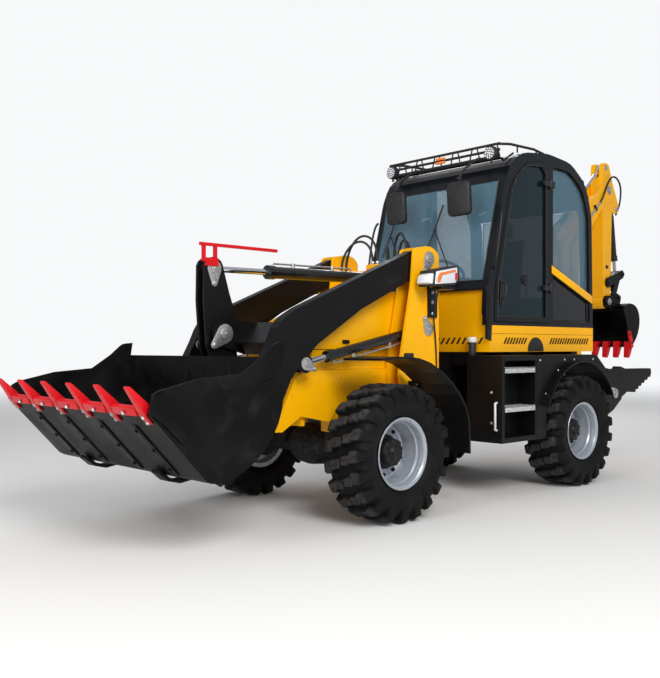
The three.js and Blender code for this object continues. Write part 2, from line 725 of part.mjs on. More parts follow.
// The swing post: hub between the frame's lugs and two ears for the boom and its ram.
function swingPostBody() {
  const hub = post(SWING_AXIS, 0, 640 + GAP, 940 - GAP, 95);
  const web = box(-4100, SWING_AXIS, -130, 130, 645, 900);
  const ear = [
    [-4150, 660], [-4165, 1160], [-4120, 1240], [-3830, 1410], [-3740, 1412], [-3668, 1330],
    [-3720, 1262], [-3960, 1030], [-3980, 660],
  ];
  const ears = SIDES.flatMap(([, s]) => [plate(ear, s * 118, s * 148), boss(BOOM_ROOT, 105, s * 118, s * 148)]);
  const stubs = SIDES.map(([, s]) => boss(BOOM_RAM_BASE, 40, s * 29, s * 119, 12));
  return join(hub, web, ...ears, ...stubs);
}

add(backhoe, 'swing_post', swingPostBody(), yellow);

// The boom: deep box up behind the cab, cranked back to the stick, forked at its top.
function boomBody() {
  const side = [
    [-3965, 1190], [-3870, 1600, 60], [-3722, 2010, 60], [-3705, 2560, 60], [-3870, 2690, 60],
    [-4660, 3330, 30], [-4905, 3330, 60], [-4890, 3180, 60], [-4670, 3060], [-4200, 2615, 80],
    [-4085, 2440, 60], [-4072, 2000], [-4155, 1160],
  ];
  const body = join(
    plate(side, -105, 105),
    boss(BOOM_ROOT, 100, -110, 110),
    ...SIDES.flatMap(([, s]) => [
      plate([[-3730, 2190], [-3600, 2240], [-3555, 2300], [-3600, 2360], [-3730, 2420]], s * 30, s * 48),
      plate([[-3720, 2530], [-3690, 2650], [-3700, 2745], [-3830, 2745], [-3880, 2680]], s * 30, s * 48),
      boss(STICK_RAM_BASE, 58, s * 30, s * 48),
    ]),
  );
  const fork = join(
    boss(STICK_PIVOT, 345, -86, 86, 28),
    bar(STICK_PIVOT, STICK_RAM_BASE, 0, 200, 640, 110, 4).intersect(box(-9000, 9000, -86, 86, 0, 9000)),
  );
  const ramSlot = join(
    boss(STICK_RAM_BASE, 70, -30, 30),
    bar(STICK_RAM_BASE, STICK_RAM_EYE, 0, 60, 1010, 66, 8),
  );
  return cut(body, fork, ramSlot);
}

add(backhoe, 'boom', boomBody(), yellow);

// The stick: hangs down from the boom's fork, with a heel for its ram above the pivot.
function stickBody() {
  const side = [
    [-4680, 3190], [-4672, 3400, 40], [-4690, 3600, 30], [-4830, 3600, 40], [-4900, 3420, 40],
    [-5070, 3120, 30], [-5060, 3014, 30], [-4905, 3014], [-4870, 1960], [-4690, 1960], [-4690, 2100],
  ];
  const body = join(plate(side, -80, 80), boss(DIGGER_PIVOT, 82, -80, 80));
  const heel = box(-5200, -4600, -33, 33, 3425, 3700);
  const rearEar = join(
    boss(CURL_RAM_BASE, 70, -32, 32),
    box(-5200, CURL_RAM_BASE[0] + 20, -32, 32, 2900, 3130),
  );
  return cut(body, heel, rearEar);
}

add(backhoe, 'stick', stickBody(), yellow);

// The curl linkage: twin levers on the stick's sides and one link down to the bucket.
function leverBody() {
  const plates = SIDES.flatMap(([, s]) => [
    plate([[-4790, 2200], [-5130, 2312], [-5145, 2210], [-4790, 2080]], s * 86, s * 104),
    boss(LEVER_PIVOT, 62, s * 86, s * 104),
    boss(LEVER_END, 44, s * 62, s * 104),
  ]);
  return join(...plates, boss([-4962, 2205], 24, -87, 87, 12));
}

function diggerLinkBody() {
  const plates = SIDES.flatMap(([, s]) => [
    boss(LEVER_END, 46, s * 34, s * 60),
    boss(DIGGER_LINK_PIN, 46, s * 34, s * 60),
    plate([[-5175, 2250], [-5085, 2270], [-4942, 1980], [-5026, 1940]], s * 34, s * 60),
  ]);
  const tie = plate([[-5108, 2130], [-5050, 2158], [-5010, 2078], [-5068, 2050]], -35, 35);
  return join(...plates, tie);
}

add(backhoe, 'curl_lever', leverBody(), black);
add(backhoe, 'digger_link', diggerLinkBody(), black);

// The digging bucket with four teeth, its mouth towards the cab.
function diggerBody() {
  const shape = new THREE.Path();
  shape.moveTo(-4880, 1850);
  shape.lineTo(-5020, 1885);
  shape.bezierCurveTo(-5330, 1885, -5327, 1570, -5120, 1400);
  shape.lineTo(...DIGGER_LIP);
  const back = shape.getPoints(10).map((p) => [p.x, p.y]);
  const shell = sheet(back, 14, -DIGGER_HALF, DIGGER_HALF);
  const cheek = [...back, [-4985, 1480, 30], [-4925, 1690, 30], [-4860, 1800]];
  const cheeks = SIDES.map(([, s]) => plate(cheek, s * (DIGGER_HALF - 16), s * DIGGER_HALF));
  const ear = [[-4700, 1880], [-4720, 1825], [-4860, 1800], [-5010, 1872], [-5040, 1960], [-4960, 2010], [-4780, 1960]];
  const ears = SIDES.flatMap(([, s]) => [
    plate(ear, s * 110, s * 132),
    boss(DIGGER_PIVOT, 78, s * 86, s * 132),
  ]);
  const stubs = SIDES.map(([, s]) => boss(DIGGER_LINK_PIN, 40, s * 62, s * 111, 12));
  const floor = sheet([[-4862, 1806], [-5010, 1874]], 14, -DIGGER_HALF, DIGGER_HALF);
  const teeth = Array.from({ length: 4 }, (_, i) => {
    const y = -218 + (436 * i) / 3;
    return plate([[-5035, 1400], [-5098, 1396], [-5028, 1232], [-5004, 1236]], y - 26, y + 26);
  });
  return join(shell, ...cheeks, ...ears, ...stubs, floor, ...teeth);
}

add(backhoe, 'digger_bucket', diggerBody(), black);

addRam(backhoe, 'boom_ram', BOOM_RAM_BASE, BOOM_RAM_EYE, 0, {
  barrel: 46, rod: 27, eye: 44, half: 26, length: 850, inner: 170,
});
addRam(backhoe, 'stick_ram', STICK_RAM_BASE, STICK_RAM_EYE, 0, {
  barrel: 42, rod: 24, eye: 44, half: 26, length: 760, inner: 560,
});
addRam(backhoe, 'curl_ram', CURL_RAM_BASE, LEVER_END, 0, {
  barrel: 38, rod: 22, eye: 42, half: 26, length: 640, inner: 250,
});

export default machine;
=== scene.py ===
import json
import math

import bpy
from mathutils import Matrix, Vector


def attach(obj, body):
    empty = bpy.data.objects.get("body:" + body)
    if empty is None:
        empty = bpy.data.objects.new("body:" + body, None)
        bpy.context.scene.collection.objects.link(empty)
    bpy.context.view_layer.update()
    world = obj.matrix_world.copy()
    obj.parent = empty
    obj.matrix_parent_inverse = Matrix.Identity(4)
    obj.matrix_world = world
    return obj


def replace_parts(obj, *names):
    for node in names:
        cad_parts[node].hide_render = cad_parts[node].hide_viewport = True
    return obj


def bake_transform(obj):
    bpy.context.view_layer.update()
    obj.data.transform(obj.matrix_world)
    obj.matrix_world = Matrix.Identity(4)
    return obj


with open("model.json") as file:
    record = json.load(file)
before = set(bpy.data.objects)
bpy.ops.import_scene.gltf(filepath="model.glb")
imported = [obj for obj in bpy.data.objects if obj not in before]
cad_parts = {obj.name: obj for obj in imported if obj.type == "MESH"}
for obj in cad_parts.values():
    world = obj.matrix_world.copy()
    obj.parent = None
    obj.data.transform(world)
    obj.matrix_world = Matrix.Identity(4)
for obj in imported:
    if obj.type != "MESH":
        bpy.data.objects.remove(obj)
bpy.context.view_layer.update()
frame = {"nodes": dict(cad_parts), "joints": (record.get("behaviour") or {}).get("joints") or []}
pin = {joint["name"]: Vector(joint["pos_m"]) for joint in frame["joints"] if "pos_m" in joint}

# ---------------------------------------------------------------- camera, floor and light
# A level camera at chest height off the machine's front left, in a bright plain studio:
# a pale floor that fades into the backdrop far off, three big soft lamps and an even grey world.

axle_x = pin["wheel_front_left_spin"].x
camera = bpy.data.cameras.new("camera")
camera.sensor_width = 36
camera.lens = 45.10088
camera.shift_y = 0.011652
camera_object = bpy.data.objects.new("camera", camera)
camera_object.location = (axle_x + 4.848, 5.351, 1.348)
heading = math.pi - 0.755
camera_object.rotation_euler = (math.pi / 2, 0, heading)
bpy.context.collection.objects.link(camera_object)
bpy.context.scene.camera = camera_object

machine_middle = Vector((0, 0, 1.2))
for name, place, size, power in (
    ("key_lamp", (5.0, 9.0, 7.5), 5.0, 950),
    ("front_lamp", (10.5, 1.0, 5.0), 6.0, 420),
    ("back_lamp", (-8.0, -6.0, 7.0), 5.0, 300),
):
    lamp = bpy.data.lights.new(name, "AREA")
    lamp.size = size
    lamp.energy = power
    lamp_object = bpy.data.objects.new(name, lamp)
    lamp_object.location = place
    towards = machine_middle - Vector(place)
    lamp_object.rotation_euler = towards.to_track_quat("-Z", "Y").to_euler()
    bpy.context.collection.objects.link(lamp_object)

bpy.context.scene.view_settings.view_transform = "Standard"


class Wire:
    """A shader socket that takes part in sums, so that writing maths adds the Math nodes."""

    def __init__(self, tree, socket):
        self.tree = tree
        self.socket = socket

    def math(self, operation, *values):
        node = self.tree.nodes.new("ShaderNodeMath")
        node.operation = operation
        for value, slot in zip(values, node.inputs):
            plug(self.tree, value, slot)
        return Wire(self.tree, node.outputs[0])

    def __add__(self, other):
        return self.math("ADD", self, other)

    def __rsub__(self, other):
        return self.math("SUBTRACT", other, self)

    def __mul__(self, other):
        return self.math("MULTIPLY", self, other)

    __radd__ = __add__
    __rmul__ = __mul__

    def between(self, low, high):
        """0 below low, 1 above high, and a smooth rise in the middle."""
        node = self.tree.nodes.new("ShaderNodeMapRange")
        node.interpolation_type = "SMOOTHSTEP"
        for value, slot in zip((self, low, high, 0.0, 1.0), node.inputs):
            plug(self.tree, value, slot)
        return Wire(self.tree, node.outputs[0])


def plug(tree, value, slot):
    if isinstance(value, Wire):
        tree.links.new(value.socket, slot)
    else:
        slot.default_value = value


class Finish:
    """A material whose main shader is there already and whose pattern is written below it."""

    def __init__(self, name, **sockets):
        self.material = bpy.data.materials.new(name)
        self.material.use_nodes = True
        self.tree = self.material.node_tree
        self.shader = self.tree.nodes["Principled BSDF"]
        self.place = self.node("ShaderNodeTexCoord", out="Object")
        self.set(**sockets)

    def node(self, kind, settings=(), out=0, **sockets):
        node = self.tree.nodes.new(kind)
        for key, value in dict(settings).items():
            setattr(node, key, value)
        for key, value in sockets.items():
            slot = node.inputs[int(key[1:])] if key[0] == "i" and key[1:].isdigit() else node.inputs[key]
            plug(self.tree, value, slot)
        return Wire(self.tree, node.outputs[out])

    def set(self, **sockets):
        for key, value in sockets.items():
            plug(self.tree, value, self.shader.inputs[key.replace("_", " ")])

    def noise(self, scale, detail=3.0, stretch=(1, 1, 1)):
        place = self.node("ShaderNodeMapping", Vector=self.place, Scale=stretch)
        return self.node("ShaderNodeTexNoise", Vector=place, Scale=scale, Detail=detail)

    def height(self):
        return self.node("ShaderNodeSeparateXYZ", out="Z", Vector=self.place)

    def mix(self, mask, low, high):
        """One colour where the mask is 0 and another where it is 1."""
        low = low if isinstance(low, Wire) else (*low, 1)
        high = high if isinstance(high, Wire) else (*high, 1)
        return self.node("ShaderNodeMix", {"data_type": "RGBA"}, out=2, i0=mask, i6=low, i7=high)

    def bump(self, relief, depth, strength=1.0):
        self.set(Normal=self.node("ShaderNodeBump", Height=relief, Distance=depth, Strength=strength))


def deselect():
    bpy.ops.object.select_all(action="DESELECT")


def pick(made):
    """Makes one object the only one chosen, for the operators that work on the active object."""
    deselect()
    made.select_set(True)
    bpy.context.view_layer.objects.active = made


floor_size = 200
fade_start, fade_end = 7.0, 26.0
backdrop_colour = (0.93, 0.94, 0.95, 1)
deselect()
bpy.ops.mesh.primitive_plane_add(size=floor_size)
floor = bpy.context.object
floor.name = "floor"
floor_finish = Finish("floor_pale")
floor_finish.set(Base_Color=(0.80, 0.79, 0.77, 1), Roughness=0.9, Specular_IOR_Level=0.2)
seen = floor_finish.node("ShaderNodeLightPath", out="Is Camera Ray")
distance = floor_finish.node(
    "ShaderNodeVectorMath", {"operation": "LENGTH"}, out="Value", i0=floor_finish.place,
)
glow = floor_finish.node("ShaderNodeEmission", Color=backdrop_colour, Strength=1.0)
base = Wire(floor_finish.tree, floor_finish.shader.outputs[0])
fade = seen * distance.between(fade_start, fade_end)
faded = floor_finish.node("ShaderNodeMixShader", i0=fade, i1=base, i2=glow)
plug(floor_finish.tree, faded, floor_finish.tree.nodes["Material Output"].inputs["Surface"])
floor.data.materials.append(floor_finish.material)

world = bpy.data.worlds.new("studio")
world.use_nodes = True
bpy.context.scene.world = world
sky = world.node_tree.nodes["Background"]
sky.inputs["Color"].default_value = (0.86, 0.88, 0.92, 1)
sky.inputs["Strength"].default_value = 0.48
shown = world.node_tree.nodes.new("ShaderNodeBackground")
shown.inputs["Color"].default_value = backdrop_colour
shown.inputs["Strength"].default_value = 1.0
path = world.node_tree.nodes.new("ShaderNodeLightPath")
both = world.node_tree.nodes.new("ShaderNodeMixShader")
world.node_tree.links.new(path.outputs["Is Camera Ray"], both.inputs[0])
world.node_tree.links.new(sky.outputs[0], both.inputs[1])
world.node_tree.links.new(shown.outputs[0], both.inputs[2])
world.node_tree.links.new(both.outputs[0], world.node_tree.nodes["World Output"].inputs[0])

# ---------------------------------------------------------------- tyres
# Wide off-road tyres of black rubber: a moulded carcass with a rim guard, and two rows of
# deep stepped lugs that start at the middle and run over the shoulder, half a pitch apart.

rubber = Finish("tyre_rubber", Specular_IOR_Level=0.15)
dust = rubber.noise(9.0).between(0.42, 0.7)
# The lug tops get a lighter grey: partly rubbed wear and partly a painted sheen in place of highlights.
crown = rubber.node("ShaderNodeAttribute", {"attribute_name": "crown"}, out="Fac")
rubbed_and_sheen_mottle = rubber.noise(30.0, 5.0).between(0.3, 0.7)
rubbed_and_sheen_grey = rubber.mix(rubbed_and_sheen_mottle, (0.022, 0.021, 0.020), (0.058, 0.055, 0.052))
side_wall = rubber.mix(dust * 0.35, (0.0035, 0.0035, 0.0038), (0.022, 0.021, 0.020))
rubber.set(Base_Color=rubber.mix(crown, side_wall, rubbed_and_sheen_grey), Roughness=0.56 + dust * 0.2 + crown * 0.1)
rubber.bump(rubber.noise(160.0, 4.0), 0.0016)


def section(name, corners, axis_point=(0, 0, 0), steps=48, smooth=35):
    """A closed section of (radius, y) corners, spun about the Y axis through a point."""
    deselect()
    bpy.ops.mesh.primitive_circle_add(vertices=len(corners), radius=1)
    made = bpy.context.object
    made.name = name
    for vertex, (radius, y) in zip(made.data.vertices, corners):
        vertex.co = (radius, y, 0)
    bpy.ops.object.mode_set(mode="EDIT")
    bpy.ops.mesh.select_all(action="SELECT")
    bpy.ops.mesh.spin(steps=steps, angle=math.tau, center=(0, 0, 0), axis=(0, 1, 0))
    bpy.ops.mesh.select_all(action="SELECT")
    bpy.ops.mesh.remove_doubles(threshold=0.0001)
    bpy.ops.mesh.normals_make_consistent(inside=False)
    bpy.ops.object.mode_set(mode="OBJECT")
    bpy.ops.object.shade_smooth_by_angle(angle=math.radians(smooth))
    made.data.transform(Matrix.Translation(axis_point))
    return made


def joined(name, parts):
    """Several meshes made one piece, under a new name."""
    deselect()
    for part in parts:
        part.select_set(True)
    bpy.context.view_layer.objects.active = parts[0]
    bpy.ops.object.join()
    parts[0].name = name
    return parts[0]


def placed(made, matrix):
    """A copy of a mesh piece with its own mesh, moved by a matrix."""
    copy = made.copy()
    copy.data = made.data.copy()
    copy.data.transform(matrix)
    bpy.context.collection.objects.link(copy)
    return copy


carcass = section(
    "carcass",
    [
        (0.251, -0.136), (0.264, -0.140), (0.286, -0.144), (0.302, -0.160), (0.345, -0.186),
        (0.402, -0.1965), (0.440, -0.189), (0.470, -0.172), (0.488, -0.145), (0.494, -0.060),
        (0.494, 0.060), (0.488, 0.145), (0.470, 0.172), (0.440, 0.189), (0.402, 0.1965),
        (0.345, 0.186), (0.302, 0.160), (0.286, 0.144), (0.264, 0.140), (0.251, 0.136),
    ],
    steps=64,
    smooth=50,
)

# One lug as stations from the middle of the tread to the side wall: the place of its base and
# of its top as (radius, y), then where its middle lies round the tyre and its width, in degrees.
# A lug's foot is wider than its top.
lug_stations = [
    ((0.490, 0.004), (0.532, 0.008), -3.6, 6.4),
    ((0.490, 0.050), (0.532, 0.050), -2.6, 7.6),
    ((0.489, 0.092), (0.532, 0.092), -1.6, 7.8),
    ((0.489, 0.100), (0.532, 0.100), 0.9, 9.2),
    ((0.484, 0.148), (0.531, 0.150), 1.6, 9.6),
    ((0.462, 0.168), (0.515, 0.188), 1.9, 8.8),
    ((0.436, 0.180), (0.462, 0.206), 2.0, 7.4),
    ((0.404, 0.188), (0.404, 0.203), 2.1, 6.0),
]
foot_spread = 2.2
deselect()
bpy.ops.mesh.primitive_grid_add(x_subdivisions=1, y_subdivisions=len(lug_stations) - 1, size=1)
lug = bpy.context.object
bpy.ops.object.mode_set(mode="EDIT")
bpy.ops.mesh.select_all(action="SELECT")
bpy.ops.mesh.extrude_region_move(TRANSFORM_OT_translate={"value": (0, 0, 1)})
bpy.ops.object.mode_set(mode="OBJECT")
for vertex in lug.data.vertices:
    station = round((vertex.co.y + 0.5) * (len(lug_stations) - 1))
    base, top, middle, width = lug_stations[station]
    on_top = vertex.co.z > 0.5
    radius, y = top if on_top else base
    spread = width if on_top else width + foot_spread
    turn = math.radians(middle + spread * (0.5 if vertex.co.x > 0 else -0.5))
    vertex.co = (radius * math.cos(turn), y, radius * math.sin(turn))
bpy.ops.object.mode_set(mode="EDIT")
bpy.ops.mesh.select_all(action="SELECT")
bpy.ops.mesh.normals_make_consistent(inside=False)
bpy.ops.object.mode_set(mode="OBJECT")
edge = lug.modifiers.new("edge", "BEVEL")
edge.width = 0.004
edge.segments = 1
bpy.ops.object.modifier_apply(modifier="edge")

lug_count = 20
lugs = []
for i in range(lug_count):
    turn = math.tau * i / lug_count
    lugs.append(placed(lug, Matrix.Rotation(turn, 4, "Y")))
    other = Matrix.Rotation(turn + math.pi / lug_count, 4, "Y") @ Matrix.Rotation(math.pi, 4, "X")
    lugs.append(placed(lug, other))
bpy.data.objects.remove(lug)
tyre = joined("tyre", [carcass, *lugs])
tyre.data.materials.clear()
tyre.data.materials.append(rubber.material)

# The tops of the lugs are a lighter grey, partly rubbed wear and partly a painted sheen that stands in for
# the highlights on the lug faces: the share rises from 0 to 1 over their last centimetre.
rubbed_and_sheen_share = tyre.data.attributes.new("crown", "FLOAT", "POINT")
rubbed_and_sheen_from, rubbed_and_sheen_depth = 0.520, 0.010
for vertex, share in zip(tyre.data.vertices, rubbed_and_sheen_share.data):
    radius = math.hypot(vertex.co.x, vertex.co.z)
    share.value = max(0.0, min(1.0, (radius - rubbed_and_sheen_from) / rubbed_and_sheen_depth))

# ---------------------------------------------------------------- rims and hubs
# Deep steel rims painted silver grey, with a stepped barrel, a pressed disc and ten nuts, and
# the black planetary hub of the axle, with its cap screws and fill plug, in the middle.

silver = Finish("rim_silver", Metallic=0.35, Coat_Weight=0.25, Coat_Roughness=0.2)
grime = silver.noise(14.0).between(0.45, 0.75)
silver.set(
    Base_Color=silver.mix(grime * 0.4, (0.39, 0.42, 0.47), (0.22, 0.22, 0.23)),
    Roughness=0.34 + grime * 0.22,
)
silver.bump(silver.noise(240.0, 2.0), 0.0003)

hub_black = Finish("hub_black", Specular_IOR_Level=0.3)
soot = hub_black.noise(22.0).between(0.4, 0.7)
hub_black.set(
    Base_Color=hub_black.mix(soot, (0.0035, 0.0035, 0.004), (0.014, 0.013, 0.012)),
    Roughness=0.38 + soot * 0.3,
)
hub_black.bump(hub_black.noise(120.0), 0.0008)

rim = section(
    "rim",
    [
        (0.108, -0.050), (0.150, -0.046), (0.168, -0.052), (0.200, -0.054), (0.214, -0.046), (0.219, -0.020),
        (0.222, 0.020), (0.230, 0.036), (0.233, 0.078), (0.243, 0.092), (0.246, 0.128), (0.254, 0.141),
        (0.266, 0.147), (0.276, 0.150), (0.279, 0.155), (0.276, 0.159), (0.266, 0.157), (0.256, 0.150),
        (0.2495, 0.142), (0.2495, -0.142), (0.262, -0.150), (0.276, -0.150), (0.279, -0.156),
        (0.272, -0.160), (0.240, -0.156), (0.236, -0.100), (0.222, -0.084), (0.108, -0.078),
    ],
    steps=64,
    smooth=28,
)
rim.data.materials.append(silver.material)

hub = section(
    "hub",
    [
        (0.0, 0.082), (0.040, 0.082), (0.048, 0.076), (0.056, 0.064), (0.084, 0.062), (0.100, 0.056),
        (0.108, 0.044), (0.110, -0.010), (0.122, -0.020), (0.134, -0.026), (0.136, -0.044), (0.0, -0.060),
    ],
    steps=40,
    smooth=30,
)
hub.data.materials.append(hub_black.material)


def hexagon(name, place, axis, radius, height):
    """One bolt head with its chamfer, on a washer, standing along an axis from a place."""
    deselect()
    bpy.ops.mesh.primitive_cylinder_add(vertices=6, radius=radius, depth=height, location=(0, 0, height / 2))
    made = bpy.context.object
    made.name = name
    bpy.ops.object.transform_apply()
    bpy.ops.object.mode_set(mode="EDIT")
    bpy.ops.mesh.select_all(action="DESELECT")
    bpy.ops.object.mode_set(mode="OBJECT")
    for face in made.data.polygons:
        face.select = face.normal.z > 0.9
    bpy.ops.object.mode_set(mode="EDIT")
    bpy.ops.mesh.bevel(offset=radius * 0.16, segments=1, affect="EDGES")
    bpy.ops.object.mode_set(mode="OBJECT")
    bpy.ops.mesh.primitive_cylinder_add(
        vertices=16, radius=radius * 1.35, depth=height * 0.24, location=(0, 0, height * 0.12)
    )
    washer = bpy.context.object
    bpy.ops.object.transform_apply()
    made = joined(name, [made, washer])
    turn = Vector(axis).normalized().to_track_quat("Z", "X").to_matrix().to_4x4()
    made.data.transform(Matrix.Translation(place) @ turn)
    return made


def turned(master, count):
    """Copies of a mesh spread evenly round the Y axis."""
    return [placed(master, Matrix.Rotation(math.tau * i / count, 4, "Y")) for i in range(count)]


nut = hexagon("nut", (0.182, -0.050, 0), (0, 1, 0), 0.0125, 0.018)
nuts = turned(nut, 10)
cap_screw = hexagon("cap_screw", (0.094, 0.058, 0), (0, 1, 0), 0.007, 0.010)
nuts += turned(cap_screw, 8)
fill_plug = hexagon("fill_plug", (0.030, 0.080, 0.0), (0, 1, 0), 0.010, 0.008)
nut_set = joined("wheel_nuts", [*nuts, fill_plug])
nut_set.data.materials.clear()
nut_set.data.materials.append(hub_black.material)
bpy.data.objects.remove(nut)
bpy.data.objects.remove(cap_screw)

for end in ("front", "rear"):
    for side in ("left", "right"):
        body = f"wheel_{end}_{side}"
        centre = pin[f"{body}_spin"]
        outward = Matrix.Rotation(0 if side == "left" else math.pi, 4, "Z")
        rolled = Matrix.Rotation(0.3 if end == "front" else 1.1, 4, "Y")
        matrix = Matrix.Translation(centre) @ outward @ rolled
        for master, node, slot in (
            (tyre, f"tyre_{end}_{side}", "tyre_rubber"),
            (rim, f"rim_{end}_{side}", "wheel_silver"),
            (hub, None, "black_paint"),
            (nut_set, None, "black_paint"),
        ):
            piece = placed(master, matrix)
            piece.name = f"{master.name}_shown_{end}_{side}"
            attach(piece, body)
            if node:
                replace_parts(piece, node)
for master in (tyre, rim, hub, nut_set):
    bpy.data.objects.remove(master)

# ---------------------------------------------------------------- paints of the frame's own solids
# Welded steel in gloss yellow and satin black, as sprayed: a faint orange peel, soft patches of
# a slightly different gloss, and a little road dust low down.


def sprayed(name, colour, dusty, roughness, dust_colour, varnish=0.0, peel=0.00025, shine=0.22):
    """Paint on steel: colour in soft patches, dust near the ground, and a fine orange peel."""
    paint = Finish(name, Coat_Weight=varnish, Coat_Roughness=0.12, Specular_IOR_Level=shine)
    patch = paint.noise(3.0, 4.0).between(0.35, 0.7)
    low = 1 - paint.height().between(0.35, 1.1)
    specks = paint.noise(38.0, 5.0).between(0.5, 0.72)
    film = (low * 0.55 + 0.12) * specks
    tone = paint.mix(patch * 0.35, colour, tuple(c * 0.84 for c in colour))
    paint.set(
        Base_Color=paint.mix(film * dusty, tone, dust_colour),
        Roughness=roughness + patch * 0.07 + film * 0.25,
    )
    paint.bump(paint.noise(330.0, 2.0), peel)
    return paint.material


yellow = sprayed("yellow_paint", (1.0, 0.472, 0.0005), 0.14, 0.30, (0.55, 0.36, 0.12), varnish=0.16)
black = sprayed("black_paint", (0.0038, 0.0040, 0.0046), 0.25, 0.36, (0.040, 0.037, 0.034))
charcoal = sprayed("cab_black", (0.0045, 0.0055, 0.0075), 0.15, 0.28, (0.04, 0.04, 0.04), varnish=0.15)
red = sprayed("red_paint", (0.62, 0.0045, 0.0095), 0.15, 0.34, (0.30, 0.12, 0.10), varnish=0.12)
iron = sprayed("cast_black", (0.016, 0.016, 0.017), 0.8, 0.55, (0.10, 0.09, 0.08), peel=0.0012)


def coat(material, *nodes):
    """Gives CAD nodes their paint."""
    for node in nodes:
        for place in frame["nodes"][node].material_slots:
            place.material = material


coat(yellow, "front_chassis", "engine_hood", "loader_towers", "cab_base", "swing_post", "boom", "stick")
for word in ("left", "right"):
    coat(black, f"front_fender_{word}", f"side_platform_{word}", f"step_box_{word}")
coat(black, "rear_chassis", "stabiliser_left", "stabiliser_right", "loader_arms", "rocker")
coat(black, "tilt_link", "curl_lever", "digger_link", "digger_bucket", "loader_bucket")
coat(charcoal, "cab_frame", "door_left", "door_right")
coat(red, "bucket_teeth", "level_indicator")
coat(iron, "front_axle", "rear_axle", "engine_block")

# ---------------------------------------------------------------- fastenings
# Zinc-plated bolts, and the pins of the loader: a turned pin head in its boss, kept from
# turning by a teardrop plate with one bolt.

zinc = Finish("zinc_plate", Metallic=0.85)
tarnish = zinc.noise(60.0, 3.0).between(0.4, 0.7)
zinc.set(
    Base_Color=zinc.mix(tarnish, (0.62, 0.62, 0.60), (0.36, 0.36, 0.36)),
    Roughness=0.30 + tarnish * 0.2,
)
zinc.bump(zinc.noise(300.0), 0.0003)


def finished(made, name, body, material, slot, bevel=0.0, smooth=35):
    """Names a piece, eases its edges, moves it from front-axle stations into the frame, and paints it."""
    made.name = name
    made.data.transform(Matrix.Translation((axle_x, 0, 0)))
    pick(made)
    if bevel:
        ease = made.modifiers.new("ease", "BEVEL")
        ease.width = bevel
        ease.segments = 2
        ease.limit_method = "ANGLE"
        bpy.ops.object.modifier_apply(modifier="ease")
    bpy.ops.object.shade_smooth_by_angle(angle=math.radians(smooth))
    made.data.materials.clear()
    made.data.materials.append(getattr(material, "material", material))
    if body:
        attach(made, body)
    return made


def block(low, high):
    """A plain block between two corners, for finishing with eased edges."""
    deselect()
    middle = [(a + b) / 2 for a, b in zip(low, high)]
    bpy.ops.mesh.primitive_cube_add(size=1, location=middle, scale=[abs(b - a) for a, b in zip(low, high)])
    bpy.ops.object.transform_apply()
    return bpy.context.object


def slab(corners, low, high):
    """A plate cut to a side outline of (station, height) corners, between two places across."""
    deselect()
    bpy.ops.mesh.primitive_circle_add(vertices=len(corners), radius=1, fill_type="NGON")
    made = bpy.context.object
    for vertex, (x, z) in zip(made.data.vertices, corners):
        vertex.co = (x, low, z)
    bpy.ops.object.mode_set(mode="EDIT")
    bpy.ops.mesh.select_all(action="SELECT")
    bpy.ops.mesh.extrude_region_move(TRANSFORM_OT_translate={"value": (0, high - low, 0)})
    bpy.ops.mesh.select_all(action="SELECT")
    bpy.ops.mesh.normals_make_consistent(inside=False)
    bpy.ops.object.mode_set(mode="OBJECT")
    return made


def disc(centre, axis, radius, depth, sides=28):
    """A short turned bar standing on a point along an axis."""
    deselect()
    bpy.ops.mesh.primitive_cylinder_add(
        vertices=sides, radius=radius, depth=depth, location=(0, 0, depth / 2),
    )
    bpy.ops.object.transform_apply()
    made = bpy.context.object
    turn = Vector(axis).normalized().to_track_quat("Z", "X").to_matrix().to_4x4()
    made.data.transform(Matrix.Translation(centre) @ turn)
    return made


def pipe(points, radius, soft=True, sides=4):
    """A hose or bent tube through points: soft bends for a hose, straight runs for a bar."""
    deselect()
    line = bpy.data.curves.new("line", "CURVE")
    line.dimensions = "3D"
    line.bevel_depth = radius
    line.bevel_resolution = sides
    line.use_fill_caps = True
    spline = line.splines.new("NURBS" if soft else "POLY")
    spline.points.add(len(points) - 1)
    for point, place in zip(spline.points, points):
        point.co = (*place, 1)
    if soft:
        spline.order_u = 4
        spline.use_endpoint_u = True
        spline.resolution_u = 8
    made = bpy.data.objects.new("line", line)
    bpy.context.collection.objects.link(made)
    made.select_set(True)
    bpy.context.view_layer.objects.active = made
    bpy.ops.object.convert(target="MESH")
    return bpy.context.object


def bolts(name, body, places, axis, radius=0.011, material=zinc, slot="wheel_silver"):
    """A set of bolt heads that ride on one body."""
    heads = [hexagon("head", place, axis, radius, radius * 0.9) for place in places]
    return finished(joined(name, heads), name, body, material, slot)


SIDES = (("left", 1), ("right", -1))
keeper_thickness = 0.010


def across(side, near, far):
    """Two distances from the middle, on one side, as the lower and the higher Y."""
    return sorted((side * near, side * far))


def locked_pin(name, body, place, side, radius, tail, out):
    """A pin head in its boss with its teardrop plate, whose tail points along (station, height)."""
    x, z = place
    tail_angle = math.atan2(tail[1], tail[0])
    end = (x + radius * 2.3 * math.cos(tail_angle), z + radius * 2.3 * math.sin(tail_angle))
    corners = []
    for centre, reach, first, swept, steps in ((place, 1.25, 70, 220, 12), (end, 0.5, -80, 160, 6)):
        for i in range(steps + 1):
            turn = tail_angle + math.radians(first + i * swept / steps)
            corners.append((
                centre[0] + radius * reach * math.cos(turn), centre[1] + radius * reach * math.sin(turn),
            ))
    top = out + keeper_thickness
    outward = (0, side, 0)
    keeper = slab(corners, *across(side, out, top))
    head = disc((x, side * top, z), outward, radius * 0.72, 0.008)
    nose = disc((x, side * (top + 0.008), z), outward, radius * 0.16, 0.012, 10)
    bolt = hexagon("bolt", (end[0], side * top, end[1]), outward, radius * 0.30, 0.011)
    return finished(joined(name, [keeper, head, nose, bolt]), name, body, zinc, "wheel_silver", 0.0015)


def station(name):
    """A joint's pin as (station from the front axle, height)."""
    return pin[name].x - axle_x, pin[name].z


